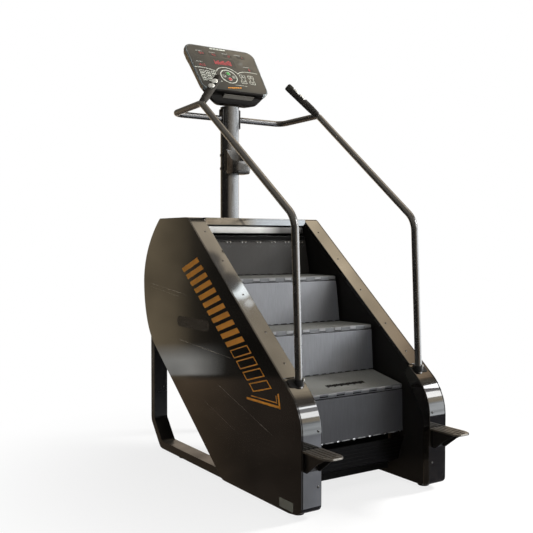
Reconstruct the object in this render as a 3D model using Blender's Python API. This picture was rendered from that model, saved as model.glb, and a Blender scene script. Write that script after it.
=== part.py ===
"""Stair climber (stepmill): an endless flight of hinged steps between two side housings.

Units are metres, +Z is up, +X is the user's right and +Y is the direction the user climbs,
so the front, where the user steps on, faces -Y. Y values are measured from the stair datum;
the last lines move everything so that the origin lies on the floor under the middle of the
footprint. Side profiles are lists of (y, z) points.
"""
import math

import bpy
import bmesh
from mathutils import Vector
from mathutils.geometry import tessellate_polygon

# ------------------------------------------------------------------ shared dimensions
SIDES = (("left", -1), ("right", 1))
DATUM_Y = -0.1275                # stair datum to centre of the footprint

# side silhouette
TOP_Z = 1.229                    # top of the side housings
TOP_REAR_Y = 0.746
TOP_FRONT_Y = 0.439
FRONT_Y = -0.529                 # vertical front face of the noses
SLOPE_Z_AT_FRONT = 0.4365        # where the slope line would meet the front face
NOSE_TANGENT = 0.105             # length of the nose fillet along each side
BOTTOM_Z = 0.010
REAR_BULGE = (0.945, 0.890)
DIAGONAL_HIGH = (0.864, 0.597)
DIAGONAL_LOW = (0.096, 0.010)

# shafts
LOWER_SHAFT = (-0.2236, 0.248)   # (y, z)
UPPER_SHAFT = (0.480, 0.824)
SHAFT_R = 0.015
SHAFT_BORE_R = SHAFT_R + 0.0008

# parts used by more than one section
CROSS_X = 0.3085                 # half length of the parts that span the two sides
LEG_X = (0.3155, 0.392)          # x range of the bent base tubes
RAIL_X = 0.335
RAIL_FOOT = (RAIL_X, -0.4271, 0.400)
RAIL_KNEE = (RAIL_X, -0.386, 1.210)
FEET = {                         # (x, y)
    "front_left": (-0.352, -0.440), "front_right": (0.352, -0.440),
    "rear_left": (-0.354, 0.560), "rear_right": (0.354, 0.560),
}

for ob in list(bpy.data.objects):
    bpy.data.objects.remove(ob, do_unlink=True)


# ------------------------------------------------------------------ materials
def material(name, colour, roughness, metallic=0.0):
    mat = bpy.data.materials.new(name)
    mat.use_nodes = True
    shader = mat.node_tree.nodes["Principled BSDF"]
    shader.inputs["Base Color"].default_value = (*colour, 1.0)
    shader.inputs["Roughness"].default_value = roughness
    shader.inputs["Metallic"].default_value = metallic
    mat.diffuse_color = (*colour, 1.0)
    return mat


GLOSS_BLACK = material("gloss_black_panel", colour=(0.020, 0.017, 0.015), roughness=0.12)
TRIM = material("gloss_trim", colour=(0.030, 0.028, 0.026), roughness=0.10)
SATIN_BLACK = material("satin_black_sheet", colour=(0.012, 0.012, 0.013), roughness=0.45)
FRAME_PAINT = material("frame_paint", colour=(0.022, 0.019, 0.017), roughness=0.40)
STEP_METAL = material("step_aluminium", colour=(0.300, 0.310, 0.330), roughness=0.42,
                      metallic=0.8)
STEEL = material("steel", colour=(0.450, 0.450, 0.450), roughness=0.30, metallic=1.0)
RAIL_PAINT = material("rail_gunmetal", colour=(0.110, 0.115, 0.115), roughness=0.35,
                      metallic=0.6)
RUBBER = material("rubber", colour=(0.015, 0.015, 0.015), roughness=0.75)
PLASTIC = material("plastic_dark", colour=(0.030, 0.032, 0.034), roughness=0.45)
FACE = material("console_face", colour=(0.060, 0.064, 0.066), roughness=0.35)
GREEN = material("button_green", colour=(0.060, 0.550, 0.080), roughness=0.35)
RED = material("button_red", colour=(0.650, 0.020, 0.030), roughness=0.35)
WHITE = material("button_white", colour=(0.750, 0.750, 0.720), roughness=0.30)
BOARD = material("circuit_board", colour=(0.020, 0.160, 0.060), roughness=0.50)


# ------------------------------------------------------------------ objects and Booleans
def add_part(name, bm, mat, origin=(0, 0, 0), smooth=None):
    """Object from a bmesh in machine coordinates; smooth is the sharp-edge angle in degrees."""
    bmesh.ops.recalc_face_normals(bm, faces=bm.faces)
    origin = Vector(origin)
    bmesh.ops.translate(bm, verts=bm.verts, vec=-origin)
    mesh = bpy.data.meshes.new(name)
    bm.to_mesh(mesh)
    bm.free()
    part = bpy.data.objects.new(name, mesh)
    bpy.context.scene.collection.objects.link(part)
    part.location = origin
    mesh.materials.append(mat)
    if smooth is not None:
        mesh.shade_smooth()
        mesh.set_sharp_from_angle(angle=math.radians(smooth))
    return part


def boolean(part, bm, operation):
    """Apply a Boolean of the solid in bm to part."""
    tool = add_part("tool", bm, SATIN_BLACK)
    modifier = part.modifiers.new("bool", "BOOLEAN")
    modifier.operation = operation
    modifier.solver = "EXACT"
    modifier.object = tool
    depsgraph = bpy.context.evaluated_depsgraph_get()
    depsgraph.update()
    result = bpy.data.meshes.new_from_object(part.evaluated_get(depsgraph))
    name = part.data.name
    part.modifiers.clear()
    part.data = result
    result.name = name
    bpy.data.objects.remove(tool, do_unlink=True)


def cut(part, bm):
    boolean(part, bm, "DIFFERENCE")


def join(part, bm):
    boolean(part, bm, "UNION")


# ------------------------------------------------------------------ flat outlines and spans
def side_span(sign, inner, outer):
    """X range (low, high) of a part between two distances from the middle, on one side."""
    return (inner, outer) if sign > 0 else (-outer, -inner)


def centred(half):
    return (-half, half)


def mirror_x(sign, point):
    return Vector((point[0] * sign, point[1], point[2]))


def circle(centre, radius, segments):
    return [(centre[0] + radius * math.cos(2 * math.pi * i / segments),
             centre[1] + radius * math.sin(2 * math.pi * i / segments))
            for i in range(segments)]


def rounded_rect(x0, y0, x1, y1, radius, steps):
    corners = ((x1 - radius, y0 + radius, -90), (x1 - radius, y1 - radius, 0),
               (x0 + radius, y1 - radius, 90), (x0 + radius, y0 + radius, 180))
    points = []
    for cx, cy, start in corners:
        for i in range(steps + 1):
            angle = math.radians(start + 90 * i / steps)
            points.append((cx + radius * math.cos(angle), cy + radius * math.sin(angle)))
    return points


def bezier(p0, p1, p2, p3, steps):
    points = []
    for i in range(steps + 1):
        t = i / steps
        w0, w1, w2, w3 = (1 - t) ** 3, 3 * t * (1 - t) ** 2, 3 * t * t * (1 - t), t ** 3
        points.append((w0 * p0[0] + w1 * p1[0] + w2 * p2[0] + w3 * p3[0],
                       w0 * p0[1] + w1 * p1[1] + w2 * p2[1] + w3 * p3[1]))
    return points


def offset(points, distance, closed):
    """Move a counter-clockwise path inwards, with mitred corners."""
    count = len(points)
    moved = []
    for i in range(count):
        here = Vector(points[i])
        before = Vector(points[i - 1]) if closed or i else None
        after = Vector(points[(i + 1) % count]) if closed or i < count - 1 else None
        edge_in = (here - before if before is not None else after - here).normalized()
        edge_out = (after - here).normalized() if after is not None else edge_in
        mitre = Vector((-edge_in.y, edge_in.x)) + Vector((-edge_out.y, edge_out.x))
        mitre = mitre / max(mitre.length_squared / 2, 1e-6)
        moved.append((here.x + mitre.x * distance, here.y + mitre.y * distance))
    return moved


def strip(points, near, far):
    """Closed polygon between two inward offsets of an open path."""
    return offset(points, near, False) + offset(points, far, False)[::-1]


# ------------------------------------------------------------------ solids
def prism(outer, span, holes=(), axis=0):
    """Polygon with holes, extruded over a span along an axis (0 is X, 2 is Z)."""
    loops = [list(outer)] + [list(hole) for hole in holes]

    def place(point, t):
        a, b = point
        return (t, a, b) if axis == 0 else (a, b, t)

    bm = bmesh.new()
    flat = [point for loop in loops for point in loop]
    low = [bm.verts.new(place(point, span[0])) for point in flat]
    high = [bm.verts.new(place(point, span[1])) for point in flat]
    if holes:
        rings = [[Vector((a, b, 0)) for a, b in loop] for loop in loops]
        for triangle in tessellate_polygon(rings):
            bm.faces.new([low[i] for i in triangle])
            bm.faces.new([high[i] for i in triangle])
    else:
        bm.faces.new(low)
        bm.faces.new(high)
    first = 0
    for loop in loops:
        count = len(loop)
        for i in range(count):
            a, b = first + i, first + (i + 1) % count
            bm.faces.new([low[a], low[b], high[b], high[a]])
        first += count
    return bm


def box(low, high):
    base = [(low[0], low[1]), (high[0], low[1]), (high[0], high[1]), (low[0], high[1])]
    return prism(base, (low[2], high[2]), axis=2)


def skin(rings):
    """Skin through rings of 3-D points, capped at both ends."""
    bm = bmesh.new()
    loops = [[bm.verts.new(point) for point in ring] for ring in rings]
    count = len(loops[0])
    for a, b in zip(loops, loops[1:]):
        for i in range(count):
            j = (i + 1) % count
            bm.faces.new([a[i], a[j], b[j], b[i]])
    bm.faces.new(loops[0])
    bm.faces.new(loops[-1])
    return bm


def turned(start, end, stations, segments):
    """Round solid from start towards end; stations are (distance along, radius)."""
    start = Vector(start)
    along = (Vector(end) - start).normalized()
    u = along.orthogonal().normalized()
    v = along.cross(u)
    angles = [2 * math.pi * i / segments for i in range(segments)]
    return skin([[start + along * distance + u * radius * math.cos(angle)
                  + v * radius * math.sin(angle) for angle in angles]
                 for distance, radius in stations])


def rod(start, end, radius, segments):
    length = (Vector(end) - Vector(start)).length
    return turned(start, end, [(0.0, radius), (length, radius)], segments)


def fillet_path(points, radii, steps):
    """Polyline whose inner corners are replaced by circular arcs."""
    points = [Vector(point) for point in points]
    path = [points[0]]
    for before, corner, after, radius in zip(points, points[1:], points[2:], radii):
        u, v = (before - corner).normalized(), (after - corner).normalized()
        angle = u.angle(v)
        tangent = radius / math.tan(angle / 2)
        centre = corner + (u + v).normalized() * (radius / math.sin(angle / 2))
        spoke0 = corner + u * tangent - centre
        spoke1 = corner + v * tangent - centre
        turn = spoke0.angle(spoke1)
        for k in range(steps + 1):
            t = k / steps
            spoke = spoke0 * math.sin((1 - t) * turn) + spoke1 * math.sin(t * turn)
            path.append(centre + spoke / math.sin(turn))
    path.append(points[-1])
    return path


def sweep(path, section, up):
    """Section of (side, up) points swept along a 3-D path with mitred joints."""
    last = len(path) - 1
    side = None
    rings = []
    for i, point in enumerate(path):
        arriving = (path[i] - path[i - 1] if i else path[1] - path[0]).normalized()
        leaving = (path[i + 1] - path[i]).normalized() if i < last else arriving
        tangent = (arriving + leaving).normalized()
        if side is None:
            side = tangent.cross(Vector(up)).normalized()
        else:
            side = (side - tangent * side.dot(tangent)).normalized()
        upward = side.cross(tangent).normalized()
        angle = arriving.angle(leaving)
        squeeze = math.sin((math.pi - angle) / 2) if angle > 1e-5 else 1.0
        bend = leaving - arriving
        ring = []
        for a, b in section:
            shift = side * a + upward * b
            if bend.length > 1e-5:
                stretch = bend.normalized()
                shift = shift + stretch * shift.dot(stretch) * (1 / squeeze - 1)
            ring.append(point + shift)
        rings.append(ring)
    return skin(rings)


# ------------------------------------------------------------------ side outline
DIAGONAL = Vector((DIAGONAL_HIGH[0] - DIAGONAL_LOW[0],
                   DIAGONAL_HIGH[1] - DIAGONAL_LOW[1])).normalized()
SLOPE = Vector((TOP_FRONT_Y - FRONT_Y, TOP_Z - SLOPE_Z_AT_FRONT)).normalized()
DIAGONAL_END = (DIAGONAL_HIGH[0] - 0.055 * DIAGONAL.x, DIAGONAL_HIGH[1] - 0.055 * DIAGONAL.y)


def slope_point(y):
    return (y, SLOPE_Z_AT_FRONT + (y - FRONT_Y) * SLOPE.y / SLOPE.x)


def rear_curve():
    """From the top of the straight diagonal, round the bulge, to the top rear corner."""
    start, bulge, top = DIAGONAL_END, REAR_BULGE, (TOP_REAR_Y, TOP_Z)
    lower = bezier(start, (start[0] + 0.10 * DIAGONAL.x, start[1] + 0.10 * DIAGONAL.y),
                   (bulge[0], bulge[1] - 0.135), bulge, 7)
    upper = bezier(bulge, (bulge[0], bulge[1] + 0.135), (top[0] + 0.108, top[1] - 0.083),
                   top, 7)
    return lower + upper[1:]


def nose_curve():
    """From the slope, round the nose, onto the vertical front face."""
    steps = 8
    corner = Vector((FRONT_Y, SLOPE_Z_AT_FRONT))
    start = corner + SLOPE * NOSE_TANGENT
    end = corner + Vector((0, -1)) * NOSE_TANGENT
    radius = NOSE_TANGENT * math.tan((math.pi - SLOPE.angle(Vector((0, 1)))) / 2)
    centre = end + Vector((radius, 0))
    first = math.atan2(start.y - centre.y, start.x - centre.x)
    angles = [first + (math.pi - first) * i / steps for i in range(steps + 1)]
    return [(centre.x + radius * math.cos(angle), centre.y + radius * math.sin(angle))
            for angle in angles]


FOOT_CURVE = bezier((FRONT_Y, 0.052), (FRONT_Y, 0.030), (-0.505, 0.016), (-0.440, BOTTOM_Z), 4)
# closed side silhouette, counter-clockwise
SILHOUETTE = (FOOT_CURVE + [DIAGONAL_LOW] + rear_curve() + [(TOP_FRONT_Y, TOP_Z)]
              + nose_curve())

# ------------------------------------------------------------------ base and frame
TUBE_HALF_HEIGHT = 0.0195
TUBE_WALL = 0.003
TUBE_OVERRUN = 0.010             # how far the bore cutter passes the tube ends
FOOT_HOLE_R = 0.0068
TRUSS_X = (0.356, 0.368)
TRUSS = [(-0.505, 0.0525), (0.125, 0.0525), (0.820, 0.583), (0.820, 1.120), (0.745, 1.190),
         (0.440, 1.190), (-0.505, 0.417)]
TRUSS_BAYS = [                   # openings, front to rear
    [(-0.465, 0.0925), (-0.255, 0.0925), (-0.255, 0.570), (-0.465, 0.398)],
    [(-0.195, 0.0925), (0.100, 0.0925), (0.130, 0.115), (0.130, 0.887), (-0.195, 0.620)],
    [(0.170, 0.137), (0.450, 0.351), (0.450, 1.140), (0.170, 0.915)],
    [(0.510, 0.397), (0.780, 0.603), (0.780, 1.100), (0.730, 1.150), (0.510, 1.150)],
]
BEARING_X = (0.3255, 0.3557)
BEARING_HALF_Y, BEARING_HALF_Z, BEARING_CORNER_R = 0.045, 0.032, 0.018


def add_base_rail(side, sign):
    """Bent tube: upright at the rear, then forward along the floor."""
    low, high = side_span(sign, *LEG_X)
    x = (low + high) / 2

    def bent_tube(overrun, inset):
        path = fillet_path([(x, 0.853, 0.700 + overrun), (x, 0.853, 0.150),
                            (x, 0.752, 0.0315), (x, -0.470 - overrun, 0.0315)],
                           [0.030, 0.030], 2)
        a, b = (high - low) / 2 - inset, TUBE_HALF_HEIGHT - inset
        return sweep(path, [(-a, -b), (a, -b), (a, b), (-a, b)], (0, 1, 0))

    rail = add_part(f"{side}_base_rail", bent_tube(0.0, 0.0), FRAME_PAINT)
    cut(rail, bent_tube(TUBE_OVERRUN, TUBE_WALL))
    for foot_x, foot_y in FEET.values():
        if foot_x * sign > 0:
            cut(rail, rod((foot_x, foot_y, -0.01), (foot_x, foot_y, 0.045), FOOT_HOLE_R, 16))


def add_frame_truss(side, sign):
    """Welded truss that stands on the base rail and carries the shaft bearings."""
    add_part(f"{side}_frame_truss", prism(TRUSS, side_span(sign, *TRUSS_X), TRUSS_BAYS),
             FRAME_PAINT)


def add_bearings(side, sign):
    """Pillow-block bearings bolted to the truss."""
    for level, (y, z) in (("lower", LOWER_SHAFT), ("upper", UPPER_SHAFT)):
        body = rounded_rect(y - BEARING_HALF_Y, z - BEARING_HALF_Z,
                            y + BEARING_HALF_Y, z + BEARING_HALF_Z, BEARING_CORNER_R, 3)
        bore = circle((y, z), SHAFT_BORE_R, 24)
        add_part(f"{side}_{level}_bearing", prism(body, side_span(sign, *BEARING_X), [bore]),
                 STEEL, smooth=35)


def cross_beam(y0, z0, y1, z1):
    return prism(rounded_rect(y0, z0, y1, z1, 0.004, 2), centred(CROSS_X))


def add_cross_beams():
    add_part("front_cross_beam", cross_beam(-0.150, 0.016, -0.110, 0.056), FRAME_PAINT)
    add_part("rear_cross_beam", cross_beam(0.700, 0.600, 0.740, 0.640), FRAME_PAINT)


def add_upper_bridge():
    """Welded bridge under the cap: front beam, column beam and two side bars."""
    bridge = add_part("upper_bridge_frame", cross_beam(0.4395, 1.149, 0.480, 1.190),
                      FRAME_PAINT)
    join(bridge, cross_beam(0.645, 1.150, 0.740, 1.200))
    for _, sign in SIDES:
        low, high = side_span(sign, 0.270, 0.300)
        join(bridge, box((low, 0.470, 1.156), (high, 0.660, 1.186)))


# ------------------------------------------------------------------ covers
PANEL_OUT_X = 0.400              # half of the overall width
PANEL_SKIN = 0.004
WALL_X = (0.3090, 0.3120)        # inner walls, seen by the user
WALL_INSET = 0.006
SHAFT_CLEARANCE_R = 0.030
TRIM_IN_X = 0.3088
TRIM_OUT_X = 0.3955              # outer edge of the top trims and the nose covers
TRIM_HOLLOW_OUT_X = 0.3930
TRIM_SKIN = 0.003
TRIM_DEPTH = 0.018
TRIM_END_Y = -0.3900             # lower end of the top trims
NOSE_IN_X = 0.2985
NOSE_START_Y = -0.3915
NOSE_BACK_DEPTH = 0.045
RAIL_SLOT_R = 0.0195
REAR_COVER_FOOT_Y = 0.205
REAR_COVER_HALF = 0.3945
KICK = [(-0.356, 0.212), (-0.318, 0.100), (-0.175, 0.028)]


def add_side_panel(side, sign):
    span = side_span(sign, PANEL_OUT_X - PANEL_SKIN, PANEL_OUT_X)
    add_part(f"{side}_side_panel", prism(SILHOUETTE, span), GLOSS_BLACK)


def add_inner_wall(side, sign):
    """Inner wall with clearance holes for the two shafts."""
    holes = [circle(shaft, SHAFT_CLEARANCE_R, 20) for shaft in (LOWER_SHAFT, UPPER_SHAFT)]
    add_part(f"{side}_inner_wall",
             prism(offset(SILHOUETTE, WALL_INSET, True), side_span(sign, *WALL_X), holes),
             SATIN_BLACK)


def add_top_trim(side, sign):
    """Channel that follows the top and the slope down to the handrail base."""
    end = slope_point(TRIM_END_Y)
    path = [(TOP_REAR_Y - 0.004, TOP_Z), (TOP_FRONT_Y, TOP_Z), end]
    trim = add_part(f"{side}_top_trim",
                    prism(strip(path, 0.0, TRIM_DEPTH), side_span(sign, TRIM_IN_X, TRIM_OUT_X)),
                    TRIM)
    longer = [(TOP_REAR_Y + 0.05, TOP_Z), (TOP_FRONT_Y, TOP_Z),
              (end[0] - 0.05 * SLOPE.x, end[1] - 0.05 * SLOPE.y)]
    # the web left between the two grooves stands just outside the inner wall
    for groove in ((TRIM_IN_X - 0.01, 0.3124), (0.3150, TRIM_HOLLOW_OUT_X)):
        cut(trim, prism(strip(longer, TRIM_SKIN, 0.030), side_span(sign, *groove)))


def add_nose_cover(side, sign):
    """Rounded channel from the handrail base down to the floor, slotted for the handrail."""
    start = slope_point(NOSE_START_Y)
    front = nose_curve() + FOOT_CURVE[:4]
    end_y, end_z = front[-1]
    back = Vector(start) + Vector((SLOPE.y, -SLOPE.x)) * NOSE_BACK_DEPTH
    nose = add_part(f"{side}_nose_cover",
                    prism([start] + front + [(end_y, 0.330), tuple(back)],
                          side_span(sign, NOSE_IN_X, TRIM_OUT_X)), TRIM)
    longer = [(start[0] + 0.06 * SLOPE.x, start[1] + 0.06 * SLOPE.y)] + front
    longer += [(end_y + 0.04, end_z - 0.004)]
    hollow = offset(longer, TRIM_SKIN, False)
    hollow += [(-0.300, hollow[-1][1]), (-0.300, 0.610)]
    cut(nose, prism(hollow, side_span(sign, NOSE_IN_X + 0.0025, TRIM_HOLLOW_OUT_X)))
    foot, knee = mirror_x(sign, RAIL_FOOT), mirror_x(sign, RAIL_KNEE)
    cut(nose, rod(foot, foot + (knee - foot).normalized() * 0.30, RAIL_SLOT_R, 20))


def add_top_cap():
    """Cap across the top with a turned-down front lip, notched round the column."""
    cap = add_part("top_cap", box((-0.3082, 0.4200, 1.2255), (0.3082, 0.7420, 1.2285)), TRIM)
    join(cap, box((-0.2960, 0.4200, 1.1920), (0.2960, 0.4230, 1.2270)))
    cut(cap, box((-0.0520, 0.6580, 1.2000), (0.0520, 0.7600, 1.2500)))


def add_rear_cover():
    """Sheet round the diagonal and the bulge, notched for the base tubes."""
    foot_z = DIAGONAL_LOW[1] + (REAR_COVER_FOOT_Y - DIAGONAL_LOW[0]) * DIAGONAL.y / DIAGONAL.x
    path = [(REAR_COVER_FOOT_Y, foot_z)] + rear_curve()
    path[-1] = (path[-1][0] + 0.004, path[-1][1] - 0.004)
    cover = add_part("rear_cover", prism(strip(path, 0.001, 0.004), centred(REAR_COVER_HALF)),
                     GLOSS_BLACK, smooth=30)
    for _, sign in SIDES:
        low, high = side_span(sign, LEG_X[0] - 0.003, 0.3990)
        cut(cover, box((low, 0.8280, 0.4000), (high, 0.8780, 0.7300)))


def add_kick_cover():
    add_part("front_kick_cover", prism(strip(KICK, 0.0, 0.004), centred(CROSS_X)), SATIN_BLACK)


# ------------------------------------------------------------------ steps
STEP_HALF = 0.297                # half length of a step
# nosing (front top edge) and inner-corner points of the steps, top to bottom
NOSING = [(0.410, 1.137), (0.142, 0.934), (-0.136, 0.711), (-0.354, 0.455)]
CORNER = [(0.365, 0.936), (0.107, 0.706), (-0.151, 0.495), (-0.360, 0.237)]
TREAD_ENDS = [(0.630, 1.132)] + CORNER[:3]
TREAD_T = 0.018
TREAD_OVERRUN = 0.006            # tread past the inner corner
NOSE_LIP = 0.021                 # depth of the tread at the nosing
NOSE_CHAMFER = 0.004
RISER_T = 0.007
RISER_TOP_DROP = 0.0240          # nosing down to the riser's top edge
RISER_FOOT_GAP = 0.0025          # inner corner up to the riser's bottom edge
RUN_ORIGIN = (0.0, *CORNER[1])
LOWER_TREAD_PIVOT = (0.0, CORNER[2][0] + 0.004, CORNER[2][1] - 0.010)
LOWER_RISER_PIVOT = (0.0, NOSING[3][0] + 0.004, NOSING[3][1] - 0.018)

INCLINE = math.radians(39.0)
INWARD = Vector((math.sin(INCLINE), -math.cos(INCLINE)))   # from the steps into the machine
ALONG = Vector((math.cos(INCLINE), math.sin(INCLINE)))     # up the incline
CHAIN_R = 0.115                  # chain centre line on the sprockets
CHAIN_X = 0.270
CHAIN_HALF_WIDTH = 0.007
CHAIN_HALF_T = 0.006
RETURN_HALF = 0.285              # half length of the returning steps
RETURN_PITCH = 0.190
RETURN_GAP = 0.016               # between neighbouring panels
RETURN_HALF_T = 0.007
LINK_HALF_T = 0.0025             # thin strip between two panels


def tread_profile(nosing, end):
    """Top surface from the nosing to just past the inner corner."""
    nosing, end = Vector(nosing), Vector(end)
    inward = (end - nosing).normalized()
    up = Vector((-inward.y, inward.x))
    rear = end + inward * TREAD_OVERRUN
    points = [nosing - up * NOSE_LIP, nosing - up * NOSE_CHAMFER,
              nosing + inward * NOSE_CHAMFER, rear, rear - up * TREAD_T,
              nosing + inward * 0.030 - up * TREAD_T, nosing + inward * 0.022 - up * NOSE_LIP]
    return [tuple(point) for point in points]


def riser_profile(nosing, corner):
    nosing, corner = Vector(nosing), Vector(corner)
    fall = nosing.y - corner.y
    top = nosing + (corner - nosing) * (RISER_TOP_DROP / fall)
    foot = nosing + (corner - nosing) * ((fall - RISER_FOOT_GAP) / fall)
    return [tuple(top), tuple(foot), (foot.x + RISER_T, foot.y), (top.x + RISER_T, top.y)]


def add_steps():
    """The upper three steps share an origin; the lowest tread and riser have their own."""
    span = centred(STEP_HALF)
    for k in range(4):
        upper = k < 3
        add_part(f"tread_{k}", prism(tread_profile(NOSING[k], TREAD_ENDS[k]), span),
                 STEP_METAL, RUN_ORIGIN if upper else LOWER_TREAD_PIVOT)
        add_part(f"riser_{k}", prism(riser_profile(NOSING[k], CORNER[k]), span),
                 STEP_METAL, RUN_ORIGIN if upper else LOWER_RISER_PIVOT)


def add_step_chain(side, sign):
    """Upper strand of the step chain, which carries the run of steps."""
    low = Vector(LOWER_SHAFT) - INWARD * CHAIN_R + ALONG * 0.060
    high = Vector(UPPER_SHAFT) - INWARD * CHAIN_R - ALONG * 0.010
    along = (high - low).normalized()
    half = Vector((-along.y, along.x)) * CHAIN_HALF_T
    strand = [tuple(point) for point in (low - half, high - half, high + half, low + half)]
    span = side_span(sign, CHAIN_X - CHAIN_HALF_WIDTH, CHAIN_X + CHAIN_HALF_WIDTH)
    add_part(f"{side}_step_chain", prism(strand, span), STEEL, RUN_ORIGIN)


def add_return_steps():
    """Steps on their way back up, folded flat under the chains."""
    start = Vector(LOWER_SHAFT) + INWARD * (CHAIN_R + 0.0225) + ALONG * 0.050
    upper, lower = [], []

    def station(point, half):
        upper.append(tuple(point - INWARD * half))
        lower.append(tuple(point + INWARD * half))

    for i in range(3):
        panel_start = start + ALONG * (i * RETURN_PITCH)
        panel_end = panel_start + ALONG * (RETURN_PITCH - RETURN_GAP)
        station(panel_start, RETURN_HALF_T)
        station(panel_end, RETURN_HALF_T)
        if i < 2:
            station(panel_end + ALONG * 0.0005, LINK_HALF_T)
            station(panel_end + ALONG * 0.0155, LINK_HALF_T)
    add_part("return_steps", prism(upper + lower[::-1], centred(RETURN_HALF)), STEP_METAL,
             (0.0, *start))


# ------------------------------------------------------------------ drive line
SHAFT_HALF = 0.3510
SPROCKET_R = 0.108
SPROCKET_TEETH = 20
TOOTH_DEPTH = 0.007
SPROCKET_HALF_T = 0.003
PULLEY_R = 0.100
BELT_X = (0.132, 0.153)
BELT_GAP, BELT_OUTER_GAP = 0.0018, 0.0055    # pulley rim to the inside and outside of the belt
BRAKE_AXIS = (0.740, 0.800)
BRAKE_R = 0.085
BRAKE_PULLEY_R = 0.035
BRAKE_STUB_R = 0.0080
BRAKE_BORE_R = 0.0088


def axle(x0, x1, axis, radius, segments):
    """Round bar parallel to X about the point axis (y, z)."""
    return rod((x0, *axis), (x1, *axis), radius, segments)


def sprocket(centre):
    points = []
    for i in range(SPROCKET_TEETH * 2):
        radius = SPROCKET_R if i % 2 == 0 else SPROCKET_R - TOOTH_DEPTH
        angle = math.pi * i / SPROCKET_TEETH
        points.append((centre[0] + radius * math.cos(angle),
                       centre[1] + radius * math.sin(angle)))
    return points


def add_shafts():
    """Each shaft carries a sprocket under either step chain."""
    for level, axis in (("lower", LOWER_SHAFT), ("upper", UPPER_SHAFT)):
        shaft = add_part(f"{level}_shaft", axle(-SHAFT_HALF, SHAFT_HALF, axis, SHAFT_R, 24),
                         STEEL, (0.0, *axis), smooth=35)
        for _, sign in SIDES:
            span = side_span(sign, CHAIN_X - SPROCKET_HALF_T, CHAIN_X + SPROCKET_HALF_T)
            join(shaft, prism(sprocket(axis), span))


def add_drive_pulley():
    add_part("drive_pulley",
             prism(circle(UPPER_SHAFT, PULLEY_R, 48), (BELT_X[0] - 0.002, BELT_X[1] + 0.002),
                   [circle(UPPER_SHAFT, SHAFT_BORE_R, 24)]),
             STEEL, (0.0, *UPPER_SHAFT), smooth=35)


def add_brake():
    """Drum on a block, bored for the stub of its belt pulley."""
    brake = add_part("brake_unit", axle(-0.050, 0.110, BRAKE_AXIS, BRAKE_R, 36), PLASTIC,
                     smooth=35)
    join(brake, box((-0.030, 0.690, 0.6403), (0.090, 0.790, 0.7400)))
    cut(brake, axle(0.060, 0.150, BRAKE_AXIS, BRAKE_BORE_R, 20))
    pulley = add_part("brake_pulley", axle(0.1290, 0.1560, BRAKE_AXIS, BRAKE_PULLEY_R, 28),
                      STEEL, (0.0, *BRAKE_AXIS), smooth=35)
    join(pulley, axle(0.0700, 0.1400, BRAKE_AXIS, BRAKE_STUB_R, 20))


def belt_loop(gap):
    """Open-belt outline at a gap from both pulleys, counter-clockwise."""
    drive, brake = Vector(UPPER_SHAFT), Vector(BRAKE_AXIS)
    drive_r, brake_r = PULLEY_R + gap, BRAKE_PULLEY_R + gap
    line = brake - drive
    heading = math.atan2(line.y, line.x)
    contact = math.acos((drive_r - brake_r) / line.length)
    points = []
    for centre, radius, start, turn, steps in (
            (drive, drive_r, heading + contact, 2 * math.pi - 2 * contact, 30),
            (brake, brake_r, heading - contact, 2 * contact, 15)):
        for i in range(steps + 1):
            angle = start + turn * i / steps
            points.append((centre.x + radius * math.cos(angle),
                           centre.y + radius * math.sin(angle)))
    return points


def add_drive_belt():
    add_part("drive_belt", prism(belt_loop(BELT_OUTER_GAP), BELT_X, [belt_loop(BELT_GAP)]),
             RUBBER, smooth=35)


# ------------------------------------------------------------------ column and bottle holder
COLUMN_HALF = 0.050
COLUMN_Y = (0.660, 0.740)
COLUMN_CORNER_R = 0.030
COLUMN_WALL = 0.003
COLUMN_Z = (1.2003, 1.8395)
# side profile of the material removed above the holder's sloping rim
HOLDER_SCOOP = [(0.50, 1.536), (0.600, 1.560), (0.652, 1.596), (0.6545, 1.640),
                (0.6545, 1.70), (0.50, 1.70)]


def add_column():
    def section(inset):
        return rounded_rect(-COLUMN_HALF + inset, COLUMN_Y[0] + inset, COLUMN_HALF - inset,
                            COLUMN_Y[1] - inset, COLUMN_CORNER_R - inset, 6)

    add_part("console_column", prism(section(0.0), COLUMN_Z, [section(COLUMN_WALL)], axis=2),
             RAIL_PAINT, smooth=35)


def add_bottle_holder():
    outer = rounded_rect(-0.060, 0.560, 0.060, 0.6597, 0.034, 6)
    inner = rounded_rect(-0.0560, 0.5640, 0.0560, 0.6540, 0.030, 6)
    holder = add_part("bottle_holder", prism(outer, (1.470, 1.605), axis=2), PLASTIC,
                      smooth=35)
    cut(holder, prism(inner, (1.482, 1.650), axis=2))
    cut(holder, prism(HOLDER_SCOOP, centred(0.10)))


# ------------------------------------------------------------------ console
# Console coordinates: x across, v up the face, n out of the face towards the user.
CONSOLE_CENTRE = Vector((0.0, 0.722, 2.049))
CONSOLE_TILT = math.atan2(0.596, 0.803)
FACE_UP = Vector((0.0, math.sin(CONSOLE_TILT), math.cos(CONSOLE_TILT)))
FACE_OUT = Vector((0.0, -math.cos(CONSOLE_TILT), math.sin(CONSOLE_TILT)))
CONSOLE_BUTTONS = (              # name, x, v, material
    ("start_button", -0.0110, -0.0340, GREEN),
    ("stop_button", -0.0110, -0.0760, RED),
)
BUTTON_HOLE_R = 0.0108
BUTTON_RINGS = [(0.0, 0.0103), (0.0072, 0.0103), (0.0085, 0.0090)]    # (height, radius)
CHIPS = [                        # x, v, width, height
    (-0.060, -0.020, 0.028, 0.028),
    (0.050, 0.010, 0.020, 0.034),
    (0.040, -0.060, 0.044, 0.010),
]


def on_console(x, v, n):
    return CONSOLE_CENTRE + Vector((x, 0, 0)) + FACE_UP * v + FACE_OUT * n


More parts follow.
